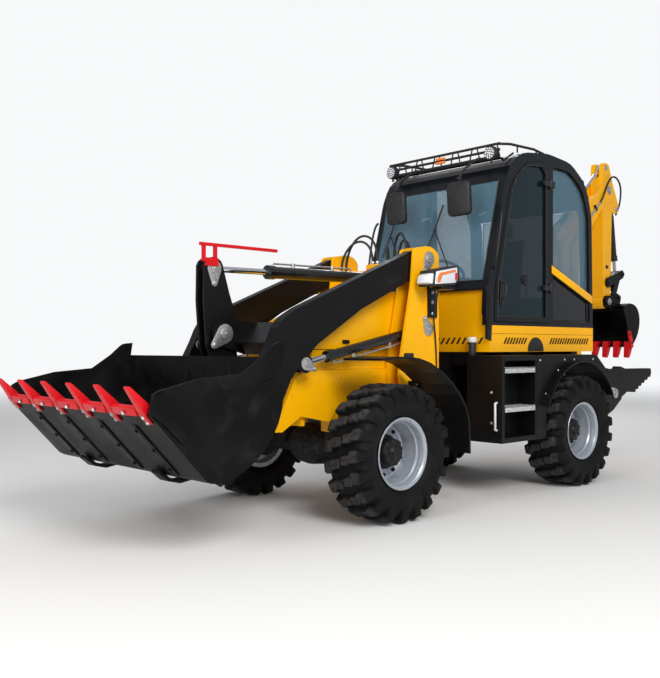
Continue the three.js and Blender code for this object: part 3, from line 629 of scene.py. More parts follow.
arm_pivot = station("loader_lift")
lift_base = station("lift_left_barrel_swing")
rocker_pivot = station("rocker_turn")
bucket_pivot = station("bucket_tilt")
rocker_top = (1.075, 1.945)
lift_eye = (0.575, 1.220)

for word, side in SIDES:
    locked_pin(f"arm_pin_{word}", "front_frame", arm_pivot, side, 0.052, (0.5, -1), 0.585)
    locked_pin(f"lift_base_pin_{word}", "front_frame", lift_base, side, 0.046, (0.5, 1), 0.585)
    locked_pin(f"lift_eye_pin_{word}", "loader_arms_body", lift_eye, side, 0.040, (-1, -0.5), 0.545)
    locked_pin(f"bucket_pin_{word}", "loader_bucket_body", bucket_pivot, side, 0.042, (1, 0.4), 0.575)
locked_pin("rocker_top_pin", "rocker_body", rocker_top, 1, 0.050, (0, -1), 0.058)
locked_pin("rocker_pin", "loader_arms_body", rocker_pivot, 1, 0.058, (0.8, -0.7), 0.093)
locked_pin("rocker_pin_far", "loader_arms_body", rocker_pivot, -1, 0.058, (0.8, -0.7), 0.093)

# ---------------------------------------------------------------- loader bucket
# A welded plate bucket in satin black, scraped by soil: a stiffening band along each cheek,
# wear strips and skid shoes under the floor, and a bolted edge with six red teeth.

scraped = Finish("bucket_black", Specular_IOR_Level=0.12)
drag = scraped.noise(16.0, 6.0, (0.35, 3.0, 0.35)).between(0.50, 0.78)
haze = scraped.noise(2.6, 5.0).between(0.38, 0.72)
soil = scraped.mix(haze, (0.0030, 0.0030, 0.0033), (0.0075, 0.0070, 0.0065))
scraped.set(
    Base_Color=scraped.mix(drag * 0.40, soil, (0.030, 0.028, 0.026)),
    Roughness=0.38 + haze * 0.18 + drag * 0.15,
)
scraped.bump(scraped.noise(90.0, 5.0), 0.0006)
coat(scraped.material, "loader_bucket", "digger_bucket")

lip = (2.205, 0.948)
lip_half = 0.018
teeth_half = 0.930
cheek = 1.0
floor_turn = math.atan2(0.432, 0.400)
along_floor = (math.cos(floor_turn), math.sin(floor_turn))
out_of_floor = (math.sin(floor_turn), -math.cos(floor_turn))


def on_floor(back, down):
    """A side point so far back from the lip along the floor, and so far below its underside."""
    return tuple(lip[k] - back * along_floor[k] + down * out_of_floor[k] for k in (0, 1))


def on_lip(ahead, above):
    """A side point so far ahead of the lip, and so far above the middle of its plate."""
    return on_floor(-ahead, -above - lip_half)


for word, low in (("near", 0.64), ("inner_near", 0.20), ("inner_far", -0.28), ("far", -0.72)):
    outline = [on_floor(0.10, 0.0), on_floor(0.12, 0.010), on_floor(0.56, 0.010), on_floor(0.585, 0.0)]
    strip = slab(outline, low, low + 0.080)
    finished(strip, f"wear_strip_{word}", "loader_bucket_body", scraped, "black_paint", 0.002)
    heads = [on_floor(back, 0.010) for back in (0.16, 0.34, 0.52)]
    bolts(
        f"wear_strip_bolts_{word}", "loader_bucket_body", [(x, low + 0.040, z) for x, z in heads],
        (out_of_floor[0], 0, out_of_floor[1]), 0.012, scraped, "black_paint",
    )

for word, side in SIDES:
    shoe_line = [
        (1.43, 0.600), (1.47, 0.545), (1.545, 0.488), (1.62, 0.452), (1.70, 0.440),
        (1.79, 0.462), (1.86, 0.520),
    ]
    inner_line = [(x - 0.012, z + 0.022) for x, z in reversed(shoe_line)]
    shoe = slab([*shoe_line, *inner_line], side * 0.50 - 0.055, side * 0.50 + 0.055)
    finished(shoe, f"skid_shoe_{word}", "loader_bucket_body", scraped, "black_paint", 0.003)
    band_top = [(2.150, 0.985), (1.90, 1.045), (1.60, 1.075), (1.42, 1.085), (1.255, 1.150)]
    band_foot = [(x, z - 0.012) for x, z in reversed(band_top)]
    band = slab([*band_top, *band_foot], *across(side, cheek, cheek + 0.006))
    finished(band, f"cheek_band_{word}", "loader_bucket_body", scraped, "black_paint", 0.001)
    cutter = slab(
        [
            (2.19, 1.060), (2.215, 0.960), (2.10, 0.870), (1.985, 0.760), (1.95, 0.800),
            (2.085, 0.955), (2.12, 1.075),
        ],
        *across(side, cheek, cheek + 0.012),
    )
    finished(cutter, f"side_cutter_{word}", "loader_bucket_body", scraped, "black_paint", 0.002)

# The teeth: forged shanks that wrap the lip above and below and narrow to a flat chisel tip,
# with a bolted edge plate between each two.
shank = [
    (-0.110, 0.020), (-0.092, 0.036), (0.000, 0.040), (0.060, 0.034), (0.190, 0.022), (0.204, 0.012),
    (0.200, 0.002), (0.060, -0.020), (0.000, -0.033), (-0.070, -0.032), (-0.085, -0.022),
    (-0.004, -0.0185), (-0.004, 0.020),
]
edge_line = [
    (-0.095, 0.0), (-0.095, 0.026), (0.022, 0.026), (0.050, 0.004), (0.050, -0.022), (0.0, -0.040),
    (0.0, 0.0),
]
tooth_count = 6
tooth_pitch = 2 * teeth_half / (tooth_count - 1)
teeth = []
for i in range(tooth_count):
    y = -teeth_half + tooth_pitch * i
    tooth = slab([on_lip(*corner) for corner in shank], y - 0.032, y + 0.032)
    for vertex in tooth.data.vertices:
        reach = (vertex.co.x - lip[0]) * along_floor[0] + (vertex.co.z - lip[1]) * along_floor[1]
        vertex.co.y = y + (vertex.co.y - y) * (1.0 if reach < 0.06 else 0.78)
    teeth.append(tooth)
for i in range(tooth_count - 1):
    y = -teeth_half + tooth_pitch * (i + 0.5)
    teeth.append(slab([on_lip(*corner) for corner in edge_line], y - 0.140, y + 0.140))
edge_set = finished(
    joined("teeth_shown", teeth), "teeth_shown", "loader_bucket_body", red, "red_paint", 0.0025,
)
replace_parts(edge_set, "bucket_teeth")

# Two bolts under each tooth, and one under the middle of each edge plate.
bolt_places = []
for i in range(2 * tooth_count - 1):
    for corner in ((-0.058, -0.032), (-0.014, -0.032)) if i % 2 == 0 else ((0.020, -0.040),):
        x, z = on_lip(*corner)
        bolt_places.append((x, -teeth_half + tooth_pitch * i / 2, z))
bolts("tooth_bolts", "loader_bucket_body", bolt_places, (out_of_floor[0], 0, out_of_floor[1]), 0.012)

# ---------------------------------------------------------------- rams
# Drawn steel barrels in black paint, hard-chromed rods, and a steel feed pipe clipped along each
# loader barrel.

chrome = Finish("rod_chrome", Metallic=1.0)
smear = chrome.noise(30.0, 3.0, (0.2, 1, 1)).between(0.45, 0.75)
chrome.set(
    Base_Color=chrome.mix(smear, (0.80, 0.81, 0.83), (0.62, 0.63, 0.65)),
    Roughness=0.07 + smear * 0.16,
)
ram_black = sprayed(
    "ram_black", (0.006, 0.0065, 0.007), 0.35, 0.24, (0.06, 0.055, 0.05), varnish=0.35, shine=0.4,
)
for ram in ("lift_left", "lift_right", "tilt", "boom_ram", "stick_ram", "curl_ram"):
    coat(ram_black, f"{ram}_barrel")
    coat(chrome.material, f"{ram}_rod")

hose_rubber = Finish("hose_rubber", Specular_IOR_Level=0.4)
scuff = hose_rubber.noise(50.0).between(0.45, 0.7)
hose_rubber.set(
    Base_Color=hose_rubber.mix(scuff, (0.012, 0.012, 0.012), (0.035, 0.034, 0.033)),
    Roughness=0.55 + scuff * 0.2,
)
hose_rubber.bump(hose_rubber.noise(400.0, 2.0), 0.0005)


def feed_pipe(name, body, start, end, y, above, first, last):
    """A steel pipe along a barrel, turned down into it at both ends, with two clips."""
    run = Vector((end[0] - start[0], 0, end[1] - start[1]))
    along = run.normalized()
    up = Vector((-along.z, 0, along.x)) * (1 if above > 0 else -1)
    base = Vector((start[0], y, start[1]))
    rise = abs(above)
    foot = rise - 0.045
    corners = (
        (first, foot), (first, rise), (first + 0.03, rise), (last - 0.03, rise), (last, rise), (last, foot),
    )
    parts = [pipe([tuple(base + along * far + up * high) for far, high in corners], 0.008, soft=False)]
    for share in (0.25, 0.75):
        centre = base + along * (first + (last - first) * share) + up * (rise - 0.034)
        parts.append(disc(tuple(centre), tuple(up), 0.016, 0.046, 12))
    return finished(joined(name, parts), name, body, zinc, "wheel_silver")


tilt_base = station("tilt_barrel_swing")
feed_pipe("tilt_feed_pipe", "tilt_barrel_body", tilt_base, rocker_top, 0.0, 0.072, 0.28, 1.18)
for word, side in SIDES:
    feed_pipe(
        f"lift_feed_pipe_{word}", f"lift_barrel_{word}",
        lift_base, lift_eye, side * 0.52, -0.062, 0.22, 1.09,
    )

# ---------------------------------------------------------------- hood, chassis and towers
# Folded yellow sheet and plate: a panel seam, drawn as a dark strip of painted shadow, and a pull latch on
# each hood side, bolts on the chin plates and towers, a grille in the nose whose slots are dark bars of
# painted shadow, and a valve block with hoses on the beam between the towers.

# A flat black that paints the shadow in the seams and in the grille's slots, and is also the real colour of
# the black warning stripes.
shade_and_stripe_black = Finish("shadow_gap", Base_Color=(0.010, 0.009, 0.008, 1), Specular_IOR_Level=0.1)
shade_and_stripe_black.set(Roughness=0.75 + shade_and_stripe_black.noise(40.0) * 0.2)

hood_half = 0.400
for word, side in SIDES:
    # Each hood side's panel seam is a thin dark strip standing just proud of the sheet: a painted shadow of
    # the groove.
    seam_shadow = slab(
        [(0.378, 1.330), (0.378, 1.325), (-0.92, 1.325), (-0.92, 1.330)],
        *across(side, hood_half - 0.002, hood_half + 0.003),
    )
    finished(seam_shadow, f"hood_seam_{word}", "front_frame", shade_and_stripe_black, "black_paint")
    latch = block((-0.02, side * hood_half, 1.375), (0.055, side * (hood_half + 0.014), 1.405))
    finished(latch, f"hood_latch_{word}", "front_frame", charcoal, "black_paint", 0.004)
    bolts(
        f"chin_bolts_{word}", "front_frame",
        [(x, side * 0.4147, z) for x, z in ((0.46, 1.10), (0.60, 0.98), (0.10, 1.11), (-0.30, 1.11))],
        (0, side, 0), 0.010, yellow, "yellow_paint",
    )
    bolts(
        f"tower_bolts_{word}", "front_frame",
        [(x, side * 0.585, z) for x, z in ((-0.885, 1.02), (-0.885, 1.10), (-0.52, 1.02), (-0.70, 1.02))],
        (0, side, 0), 0.012,
    )

# The nose grille's slots are dark bars standing on the nose: painted shadow in the openings.
grille_slot_shadows = [
    block((0.399 + 0.0004 * i, -0.30, 1.185 + 0.022 * i), (0.412, 0.30, 1.195 + 0.022 * i)) for i in range(4)
]
finished(joined("nose_grille", grille_slot_shadows), "nose_grille", "front_frame", shade_and_stripe_black, "black_paint", 0.001)

union_x, union_z = -0.885, 2.115
valve = block((-0.925, -0.21, 2.060), (-0.845, 0.21, union_z))
finished(valve, "valve_block", "front_frame", yellow, "yellow_paint", 0.006)
unions = [disc((union_x, y, union_z), (0, 0, 1), 0.017, 0.030, 6) for y in (-0.16, -0.10, 0.02, 0.11, 0.17)]
finished(joined("valve_unions", unions), "valve_unions", "front_frame", zinc, "wheel_silver", 0.002)
hose_routes = (
    [
        (-0.885, -0.16, 2.14), (-0.885, -0.16, 2.26), (-0.84, -0.24, 2.37), (-0.76, -0.36, 2.30),
        (-0.72, -0.405, 2.16), (-0.72, -0.405, 2.06),
    ],
    [
        (-0.885, -0.10, 2.14), (-0.885, -0.10, 2.30), (-0.86, -0.20, 2.42), (-0.80, -0.34, 2.36),
        (-0.78, -0.405, 2.18), (-0.78, -0.405, 2.06),
    ],
    [
        (-0.885, 0.11, 2.14), (-0.885, 0.11, 2.28), (-0.85, 0.20, 2.40), (-0.78, 0.33, 2.34),
        (-0.74, 0.405, 2.18), (-0.74, 0.405, 2.06),
    ],
    [
        (-0.885, 0.17, 2.14), (-0.885, 0.17, 2.24), (-0.86, 0.24, 2.33), (-0.82, 0.34, 2.28),
        (-0.80, 0.405, 2.14), (-0.80, 0.405, 2.04),
    ],
    [
        (-0.885, 0.02, 2.14), (-0.885, 0.02, 2.24), (-0.93, -0.02, 2.30), (-0.99, -0.05, 2.20),
        (-1.00, -0.05, 1.98), (-0.95, -0.05, 1.84),
    ],
)
for number, route in enumerate(hose_routes):
    finished(pipe(route, 0.011), f"valve_hose_{number}", "front_frame", hose_rubber, "black_paint")

# ---------------------------------------------------------------- headlamps
# A wedge-shaped lamp unit on a bolted bracket outside each tower: a black housing, clear ribbed
# lenses in front and on the outer side, and an amber indicator and a red marker on that side.


def plain(name, scale, low, high, roughness, relief, depth, **sockets):
    """A smooth moulded or painted surface: soft patches of two near colours, and a fine relief."""
    made = Finish(name, **sockets)
    made.set(Base_Color=made.mix(made.noise(scale), low, high), Roughness=roughness)
    made.bump(made.noise(*relief), depth)
    return made


def mirrored(points, side):
    """Points given for the left side, or their mirror image on the right."""
    return [(x, side * y, z) for x, y, z in points]


def coloured_lens(name, bright, deep):
    """A glossy lens of coloured plastic with a fine moulded grain."""
    made = Finish(name, Coat_Weight=1.0, Coat_Roughness=0.03)
    grain = made.node("ShaderNodeTexVoronoi", out="Distance", Vector=made.place, Scale=160.0)
    made.set(Base_Color=made.mix(grain, bright, deep), Roughness=0.12 + grain * 0.1)
    made.bump(grain, 0.001)
    return made


clear_lens = Finish("clear_lens", Coat_Weight=1.0, Coat_Roughness=0.03, Specular_IOR_Level=0.6)
ribs = clear_lens.node(
    "ShaderNodeTexWave", {"bands_direction": "Y"}, out="Fac", Vector=clear_lens.place, Scale=26.0,
)
clear_lens.set(
    Base_Color=clear_lens.mix(ribs, (0.72, 0.75, 0.79), (0.93, 0.94, 0.95)), Roughness=0.10 + ribs * 0.08,
)
clear_lens.bump(ribs, 0.0015)
amber_lens = coloured_lens("amber_lens", (0.95, 0.26, 0.01), (0.75, 0.14, 0.005))
red_lens = coloured_lens("red_lens", (0.62, 0.010, 0.008), (0.36, 0.004, 0.004))
plastic = Finish("moulded_black", Specular_IOR_Level=0.45)
mottle = plastic.noise(26.0).between(0.4, 0.7)
plastic.set(
    Base_Color=plastic.mix(mottle, (0.010, 0.010, 0.011), (0.018, 0.018, 0.019)),
    Roughness=0.46 + mottle * 0.12,
)
plastic.bump(plastic.noise(700.0, 2.0), 0.0004)

bracket_face = 0.606
for word, side in SIDES:
    inner, outer, skin = 0.625, 0.790, 0.797
    on_skin = across(side, skin - 0.001, skin + 0.003)
    housing = slab(
        [(-0.990, 1.925), (-0.965, 2.050), (-0.640, 1.992), (-0.620, 1.852), (-0.930, 1.880)],
        *across(side, inner, outer),
    )
    finished(housing, f"headlamp_housing_{word}", "front_frame", plastic, "black_paint", 0.012)
    lens = slab(
        [(-0.645, 1.866), (-0.660, 1.978), (-0.600, 1.945), (-0.585, 1.880)],
        *across(side, inner + 0.010, outer - 0.006),
    )
    finished(lens, f"headlamp_lens_{word}", "front_frame", clear_lens, "tinted_glass", 0.014)
    flank = slab(
        [(-0.945, 1.938), (-0.935, 2.030), (-0.658, 1.978), (-0.642, 1.872), (-0.910, 1.896)],
        *across(side, outer, skin),
    )
    finished(flank, f"headlamp_flank_{word}", "front_frame", clear_lens, "tinted_glass", 0.004)
    signal = slab(
        [
            (-0.915, 1.990), (-0.912, 2.010), (-0.700, 1.970), (-0.672, 1.930), (-0.665, 1.885),
            (-0.705, 1.890), (-0.735, 1.950),
        ],
        *on_skin,
    )
    finished(signal, f"indicator_{word}", "front_frame", amber_lens, "red_paint", 0.001)
    marker = slab([(-0.944, 1.935), (-0.938, 1.985), (-0.905, 1.980), (-0.905, 1.915)], *on_skin)
    finished(marker, f"marker_{word}", "front_frame", red_lens, "red_paint", 0.001)
    bracket = slab(
        [
            (-0.90, 1.60), (-0.90, 1.75), (-0.88, 1.83), (-0.93, 1.93), (-0.76, 1.90),
            (-0.77, 1.75), (-0.77, 1.60),
        ],
        *across(side, 0.5995, bracket_face),
    )
    foot = block((-0.93, side * 0.5995, 1.838), (-0.76, side * 0.770, 1.856))
    bracket = joined("bracket", [bracket, foot])
    finished(bracket, f"headlamp_bracket_{word}", "front_frame", charcoal, "black_paint", 0.002)
    bolts(
        f"headlamp_bolts_{word}", "front_frame",
        [(-0.835, side * bracket_face, z) for z in (1.635, 1.735, 1.820)], (0, side, 0), 0.012,
    )
    lead_line = [
        (-0.80, 0.70, 1.86), (-0.80, 0.69, 1.78), (-0.82, 0.63, 1.68), (-0.86, 0.60, 1.55),
        (-0.90, 0.592, 1.40), (-0.91, 0.592, 1.10),
    ]
    lead = pipe(mirrored(lead_line, side), 0.007)
    finished(lead, f"headlamp_lead_{word}", "front_frame", hose_rubber, "black_paint")

# ---------------------------------------------------------------- cab glass
# Flat toughened panes with a teal tint, darker in the doors, each in a black rubber bead, with
# a smoked panel in the foot of each rear side window and a rubber strip under each door.

tint = Finish(
    "tinted_glass", Base_Color=(0.002, 0.014, 0.019, 1), Roughness=0.02, Specular_IOR_Level=0.4,
    Alpha=0.80, Coat_Weight=0.08, Coat_Roughness=0.02,
)
tint.bump(tint.noise(1.4, 2.0), 0.0012)
coat(tint.material, "door_glass_left", "door_glass_right")
clear = Finish(
    "windscreen_glass", Base_Color=(0.12, 0.24, 0.32, 1), Roughness=0.02, Specular_IOR_Level=0.6,
    Alpha=0.42, Coat_Weight=0.3, Coat_Roughness=0.02,
)
clear.bump(clear.noise(1.4, 2.0), 0.0012)
coat(clear.material, "windscreen", "side_window_left", "side_window_right", "rear_window")

door_line = [
    (-1.560, 1.625), (-1.575, 1.90), (-1.800, 2.81), (-1.86, 2.93), (-1.95, 3.02), (-2.06, 3.075),
    (-2.30, 3.098), (-2.345, 3.085), (-2.362, 3.05), (-2.362, 1.625), (-1.560, 1.625),
]
quarter_line = [
    (-2.495, 1.610), (-2.495, 3.09), (-2.53, 3.112), (-2.76, 3.108), (-2.88, 3.06),
    (-3.03, 2.95), (-3.10, 2.84), (-3.150, 2.68), (-3.182, 1.610), (-2.495, 1.610),
]
for word, side in SIDES:
    seal = pipe([(x, side * 0.7645, z) for x, z in door_line], 0.007, soft=False, sides=2)
    finished(seal, f"door_seal_{word}", f"door_{word}_leaf", hose_rubber, "black_paint")
    seal = pipe([(x, side * 0.732, z) for x, z in quarter_line], 0.008, soft=False, sides=2)
    finished(seal, f"side_window_seal_{word}", "rear_frame", hose_rubber, "black_paint")
smoked = plain(
    "smoked_panel", 2.0, (0.0015, 0.0020, 0.0030), (0.0040, 0.0050, 0.0070), 0.08, (1.2, 2.0), 0.0008,
    Coat_Weight=0.3, Coat_Roughness=0.03, Specular_IOR_Level=0.4,
)
for word, side in SIDES:
    panel_line = [(-2.500, 1.602), (-2.500, 2.075), (-3.160, 1.840), (-3.176, 1.602)]
    panel = slab(panel_line, *across(side, 0.7305, 0.7335))
    finished(panel, f"smoked_panel_{word}", "rear_frame", smoked, "tinted_glass")
    sill_strip = block((-2.405, side * 0.700, 1.564), (-1.522, side * 0.7095, 1.594))
    finished(sill_strip, f"door_sill_strip_{word}", "rear_frame", hose_rubber, "black_paint", 0.002)
for name, x0, z0, x1, z1, half in (
    ("windscreen_seal", -1.436, 1.955, -1.6805, 2.8875, 0.6935),
    ("rear_window_seal", -3.242, 1.885, -3.242, 2.775, 0.636),
):
    ring = [(x0, -half, z0), (x0, half, z0), (x1, half, z1), (x1, -half, z1), (x0, -half, z0)]
    finished(pipe(ring, 0.007, soft=False, sides=2), name, "rear_frame", hose_rubber, "black_paint")

# ---------------------------------------------------------------- cab body and doors
# Bent and welded tube with sheet panels: a yellow lower shell with slanted black warning
# bars, a yellow slanted rail across each rear side window, strap hinges, pull handles, grab
# rails, and a fuel filler with a white cap.

cab_side = 0.760
door_skin = 0.766


def warning_bars(name, side, first, last, count):
    """A row of slanted black bars on the yellow shell, from one station to another."""
    made = []
    for i in range(count):
        x = first + (last - first) * i / (count - 1)
        made.append(slab(
            [(x, 1.375), (x - 0.022, 1.375), (x - 0.062, 1.435), (x - 0.040, 1.435)],
            *across(side, cab_side - 0.001, cab_side + 0.0025),
        ))
    finished(joined(name, made), name, "rear_frame", shade_and_stripe_black, "black_paint")


for word, side in SIDES:
    warning_bars(f"warning_bars_front_{word}", side, -1.66, -1.98, 8)
    warning_bars(f"warning_bars_rear_{word}", side, -2.42, -3.10, 16)
    arch = [math.radians(a) for a in range(0, 181, 15)]
    arch_line = [(-2.18 + 0.13 * math.cos(a), 1.310 + 0.13 * math.sin(a)) for a in arch]
    hatch = slab(arch_line, *across(side, cab_side - 0.001, cab_side + 0.012))
    finished(hatch, f"sill_hatch_{word}", "rear_frame", plastic, "black_paint", 0.004)
    # The seam along the lower shell is a thin dark strip: a painted shadow of the groove between the panels.
    seam_shadow = slab(
        [(-1.47, 1.4685), (-1.47, 1.4715), (-3.24, 1.4715), (-3.24, 1.4685)],
        *across(side, cab_side - 0.001, cab_side + 0.0008),
    )
    finished(seam_shadow, f"sill_seam_{word}", "rear_frame", shade_and_stripe_black, "black_paint")
    rail = slab(
        [(-2.455, 2.150), (-2.455, 2.072), (-3.225, 1.795), (-3.222, 1.878)],
        *across(side, 0.765, 0.771),
    )
    finished(rail, f"slanted_rail_{word}", "rear_frame", yellow, "yellow_paint", 0.003)
    post = slab(
        [(-1.398, 1.900), (-1.398, 1.420), (-1.470, 1.400), (-1.500, 1.900)],
        *across(side, 0.745, 0.768),
    )
    finished(post, f"corner_post_{word}", "rear_frame", charcoal, "black_paint", 0.006)
    # Each hinge is a strap on the door's skin, and a leaf with its knuckle on the cab.
    for height in (1.92, 2.94):
        strap = slab(
            [
                (-2.300, height - 0.022), (-2.300, height + 0.022), (-2.4155, height + 0.030),
                (-2.4155, height - 0.030),
            ],
            *across(side, door_skin, 0.784),
        )
        button = disc((-2.325, side * 0.780, height), (0, side, 0), 0.030, 0.012, 24)
        door_leaf = joined("hinge", [strap, button])
        finished(door_leaf, f"hinge_{word}_{height:.2f}", f"door_{word}_leaf", plastic, "black_paint", 0.002)
        leaf = slab(
            [
                (-2.438, height - 0.030), (-2.438, height + 0.030), (-2.495, height + 0.034),
                (-2.495, height - 0.034),
            ],
            *across(side, 0.7655, 0.784),
        )
        knuckle = disc((-2.430, side * 0.775, height - 0.045), (0, 0, 1), 0.013, 0.090, 16)
        post_leaf = joined("leaf", [leaf, knuckle])
        finished(post_leaf, f"hinge_leaf_{word}_{height:.2f}", "rear_frame", plastic, "black_paint", 0.002)
    grip_line = [
        (-1.620, 0.768, 1.780), (-1.620, 0.805, 1.790), (-1.630, 0.812, 1.860),
        (-1.645, 0.805, 1.930), (-1.650, 0.768, 1.940),
    ]
    grip = pipe(mirrored(grip_line, side), 0.010)
    plate = slab(
        [(-1.595, 1.760), (-1.610, 1.965), (-1.675, 1.965), (-1.655, 1.760)],
        *across(side, 0.7635, 0.769),
    )
    lock = disc((-1.628, side * 0.768, 1.745), (0, side, 0), 0.016, 0.012, 20)
    handle = joined("handle", [grip, plate, lock])
    finished(handle, f"door_handle_{word}", f"door_{word}_leaf", plastic, "black_paint", 0.0015)
    round_catch = disc((-2.02, side * 0.7465, 1.98), (0, side, 0), 0.045, 0.020, 28)
    centre = disc((-2.02, side * 0.7665, 1.98), (0, side, 0), 0.020, 0.010, 20)
    catch = joined("catch", [round_catch, centre])
    finished(catch, f"glass_catch_{word}", f"door_{word}_leaf", plastic, "black_paint", 0.003)
    grab_line = [
        (-1.500, 0.770, 2.06), (-1.480, 0.806, 2.08), (-1.530, 0.806, 2.36), (-1.585, 0.806, 2.62),
        (-1.610, 0.770, 2.64),
    ]
    grab_rail = pipe(mirrored(grab_line, side), 0.011)
    finished(grab_rail, f"grab_rail_{word}", "rear_frame", charcoal, "black_paint")

front_face = -1.450
nose_bars = 22
made = []
for i in range(nose_bars):
    y = -0.66 + 1.32 * i / (nose_bars - 1)
    bar = block((front_face - 0.001, y - 0.011, 1.375), (front_face + 0.0025, y + 0.011, 1.435))
    for vertex in bar.data.vertices:
        vertex.co.y += 0.02 if vertex.co.z > 1.4 else -0.02
    made.append(bar)
finished(joined("bars", made), "warning_bars_nose", "rear_frame", shade_and_stripe_black, "black_paint")
filler_x, filler_y = -1.405, 0.60
neck = disc((filler_x, filler_y, 1.20), (0, 0, 1), 0.034, 0.190, 24)
finished(neck, "filler_neck", "rear_frame", plastic, "black_paint", 0.004)
white_cap = plain(
    "white_cap", 30.0, (0.80, 0.80, 0.78), (0.66, 0.66, 0.64), 0.38, (300.0,), 0.0003,
    Specular_IOR_Level=0.5,
)
cap = disc((filler_x, filler_y, 1.388), (0, 0, 1), 0.043, 0.050, 24)
finished(cap, "filler_cap", "rear_frame", white_cap, "wheel_silver", 0.008)

# ---------------------------------------------------------------- wipers
# Two swept arms of pressed steel on the windscreen, each with a rubber blade.

slope = Vector((-0.220, 0, 0.873)).normalized()
off = Vector((0.873, 0, 0.220)).normalized()
sweep = Vector((0, -0.34, 0))
for word, y in (("left", 0.38), ("right", -0.20)):
    foot = Vector((-1.428, y, 1.945))
    tip = foot + slope * 0.56 + sweep + off * 0.028
    elbow = foot + slope * 0.12 + sweep * 0.2 + off * 0.034
    spindle = disc(tuple(foot - off * 0.004), tuple(off), 0.020, 0.036, 16)
    arm = pipe([tuple(foot + off * 0.026), tuple(elbow), tuple(tip)], 0.0065)
    half = slope * 0.24 + Vector((0, 0.06, 0))
    blade_line = (tip - half - off * 0.008, tip - off * 0.012, tip + half - off * 0.008)
    blade = pipe([tuple(place) for place in blade_line], 0.008)
    finished(joined("wiper", [spindle, arm, blade]), f"wiper_{word}", "rear_frame", plastic, "black_paint")

# ---------------------------------------------------------------- roof rack and mirrors
# A welded tube rack over the windscreen: three rails tied by slanting struts, side rails back
# over the roof, a round LED lamp at each end, amber markers in the middle, and two mirrors with
# rounded backs on bent arms.

rack_x = -1.700
rack_half = 0.690
rails = (3.125, 3.182, 3.238)
rack_parts = [
    pipe([(rack_x, -rack_half, z), (rack_x, rack_half, z)], 0.0125, soft=False, sides=3) for z in rails
]
upper_rail = ((rack_x, rails[2]), (-1.90, 3.268), (-2.30, 3.280), (-2.46, 3.262), (-2.49, 3.238))
lower_rail = ((rack_x, rails[0]), (-1.80, 3.100), (-1.95, 3.190))
strut_count = 13
for i in range(strut_count):
    y = -rack_half + 2 * rack_half * i / (strut_count - 1)
    lean = 0.030 if i % 2 else -0.030
    y_top = max(-rack_half, min(rack_half, y + lean))
    rack_parts.append(pipe([(rack_x, y, rails[0]), (rack_x, y_top, rails[2])], 0.007, soft=False, sides=2))
for side in (1, -1):
    y = side * 0.665
    for rail, radius in ((upper_rail, 0.0125), (lower_rail, 0.010)):
        rack_parts.append(pipe([(x, y, z) for x, z in rail], radius, soft=False, sides=3))
    for x in (-2.02, -2.34):
        rack_parts.append(pipe([(x, y, 3.205), (x, y, 3.275)], 0.008, soft=False, sides=2))
shelf = block((rack_x - 0.075, -rack_half, 3.108), (rack_x + 0.004, rack_half, 3.114))
rack = joined("rack", [shelf, *rack_parts])
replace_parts(finished(rack, "rack_shown", "rear_frame", plastic, "black_paint"), "roof_rack")

lamp_dark = plain(
    "lamp_dark", 60.0, (0.05, 0.05, 0.055), (0.12, 0.12, 0.13), 0.2, (200.0,), 0.0003,
    Coat_Weight=1.0, Coat_Roughness=0.05, Specular_IOR_Level=0.5,
)


def round_lamp(name, body, centre, axis, radius):
    """A round work lamp: a ribbed black can on a stem, a dark lens, and two rings of bright cells."""
    axis = Vector(axis).normalized()
    face = Vector(centre)
    side_axis = axis.orthogonal().normalized()
    can = disc(tuple(face - axis * 0.060), tuple(axis), radius, 0.060, 28)
    fins = [
        disc(tuple(face - axis * (0.052 - 0.014 * i)), tuple(axis), radius * 1.06, 0.006, 28)
        for i in range(3)
    ]
    stem = disc(tuple(face - axis * 0.030 - Vector((0, 0, radius + 0.030))), (0, 0, 1), 0.012, 0.040, 12)
    finished(joined("can", [can, *fins, stem]), f"{name}_can", body, plastic, "black_paint", 0.002)
    lens = disc(tuple(face), tuple(axis), radius * 0.90, 0.004, 28)
    finished(lens, f"{name}_lens", body, lamp_dark, "black_paint", 0.001)
    cells = [disc(tuple(face + axis * 0.003), tuple(axis), radius * 0.17, 0.005, 12)]
    for count, ring in ((6, 0.38), (11, 0.70)):
        for i in range(count):
            turn = Matrix.Rotation(math.tau * i / count, 3, axis)
            place = face + axis * 0.003 + turn @ side_axis * radius * ring
            cells.append(disc(tuple(place), tuple(axis), radius * 0.13, 0.005, 12))
    finished(joined("cells", cells), f"{name}_cells", body, clear_lens, "tinted_glass", 0.0008)


for word, y in (("left", 0.620), ("right", -0.620)):
    round_lamp(f"rack_lamp_{word}", "rear_frame", (rack_x + 0.062, y, 3.150), (1, 0, -0.06), 0.062)
for number, z in enumerate((3.150, 3.186)):
    marker = block((rack_x + 0.006, -0.055, z), (rack_x + 0.028, 0.055, z + 0.024))
    finished(marker, f"rack_marker_{number}", "rear_frame", amber_lens, "red_paint", 0.004)

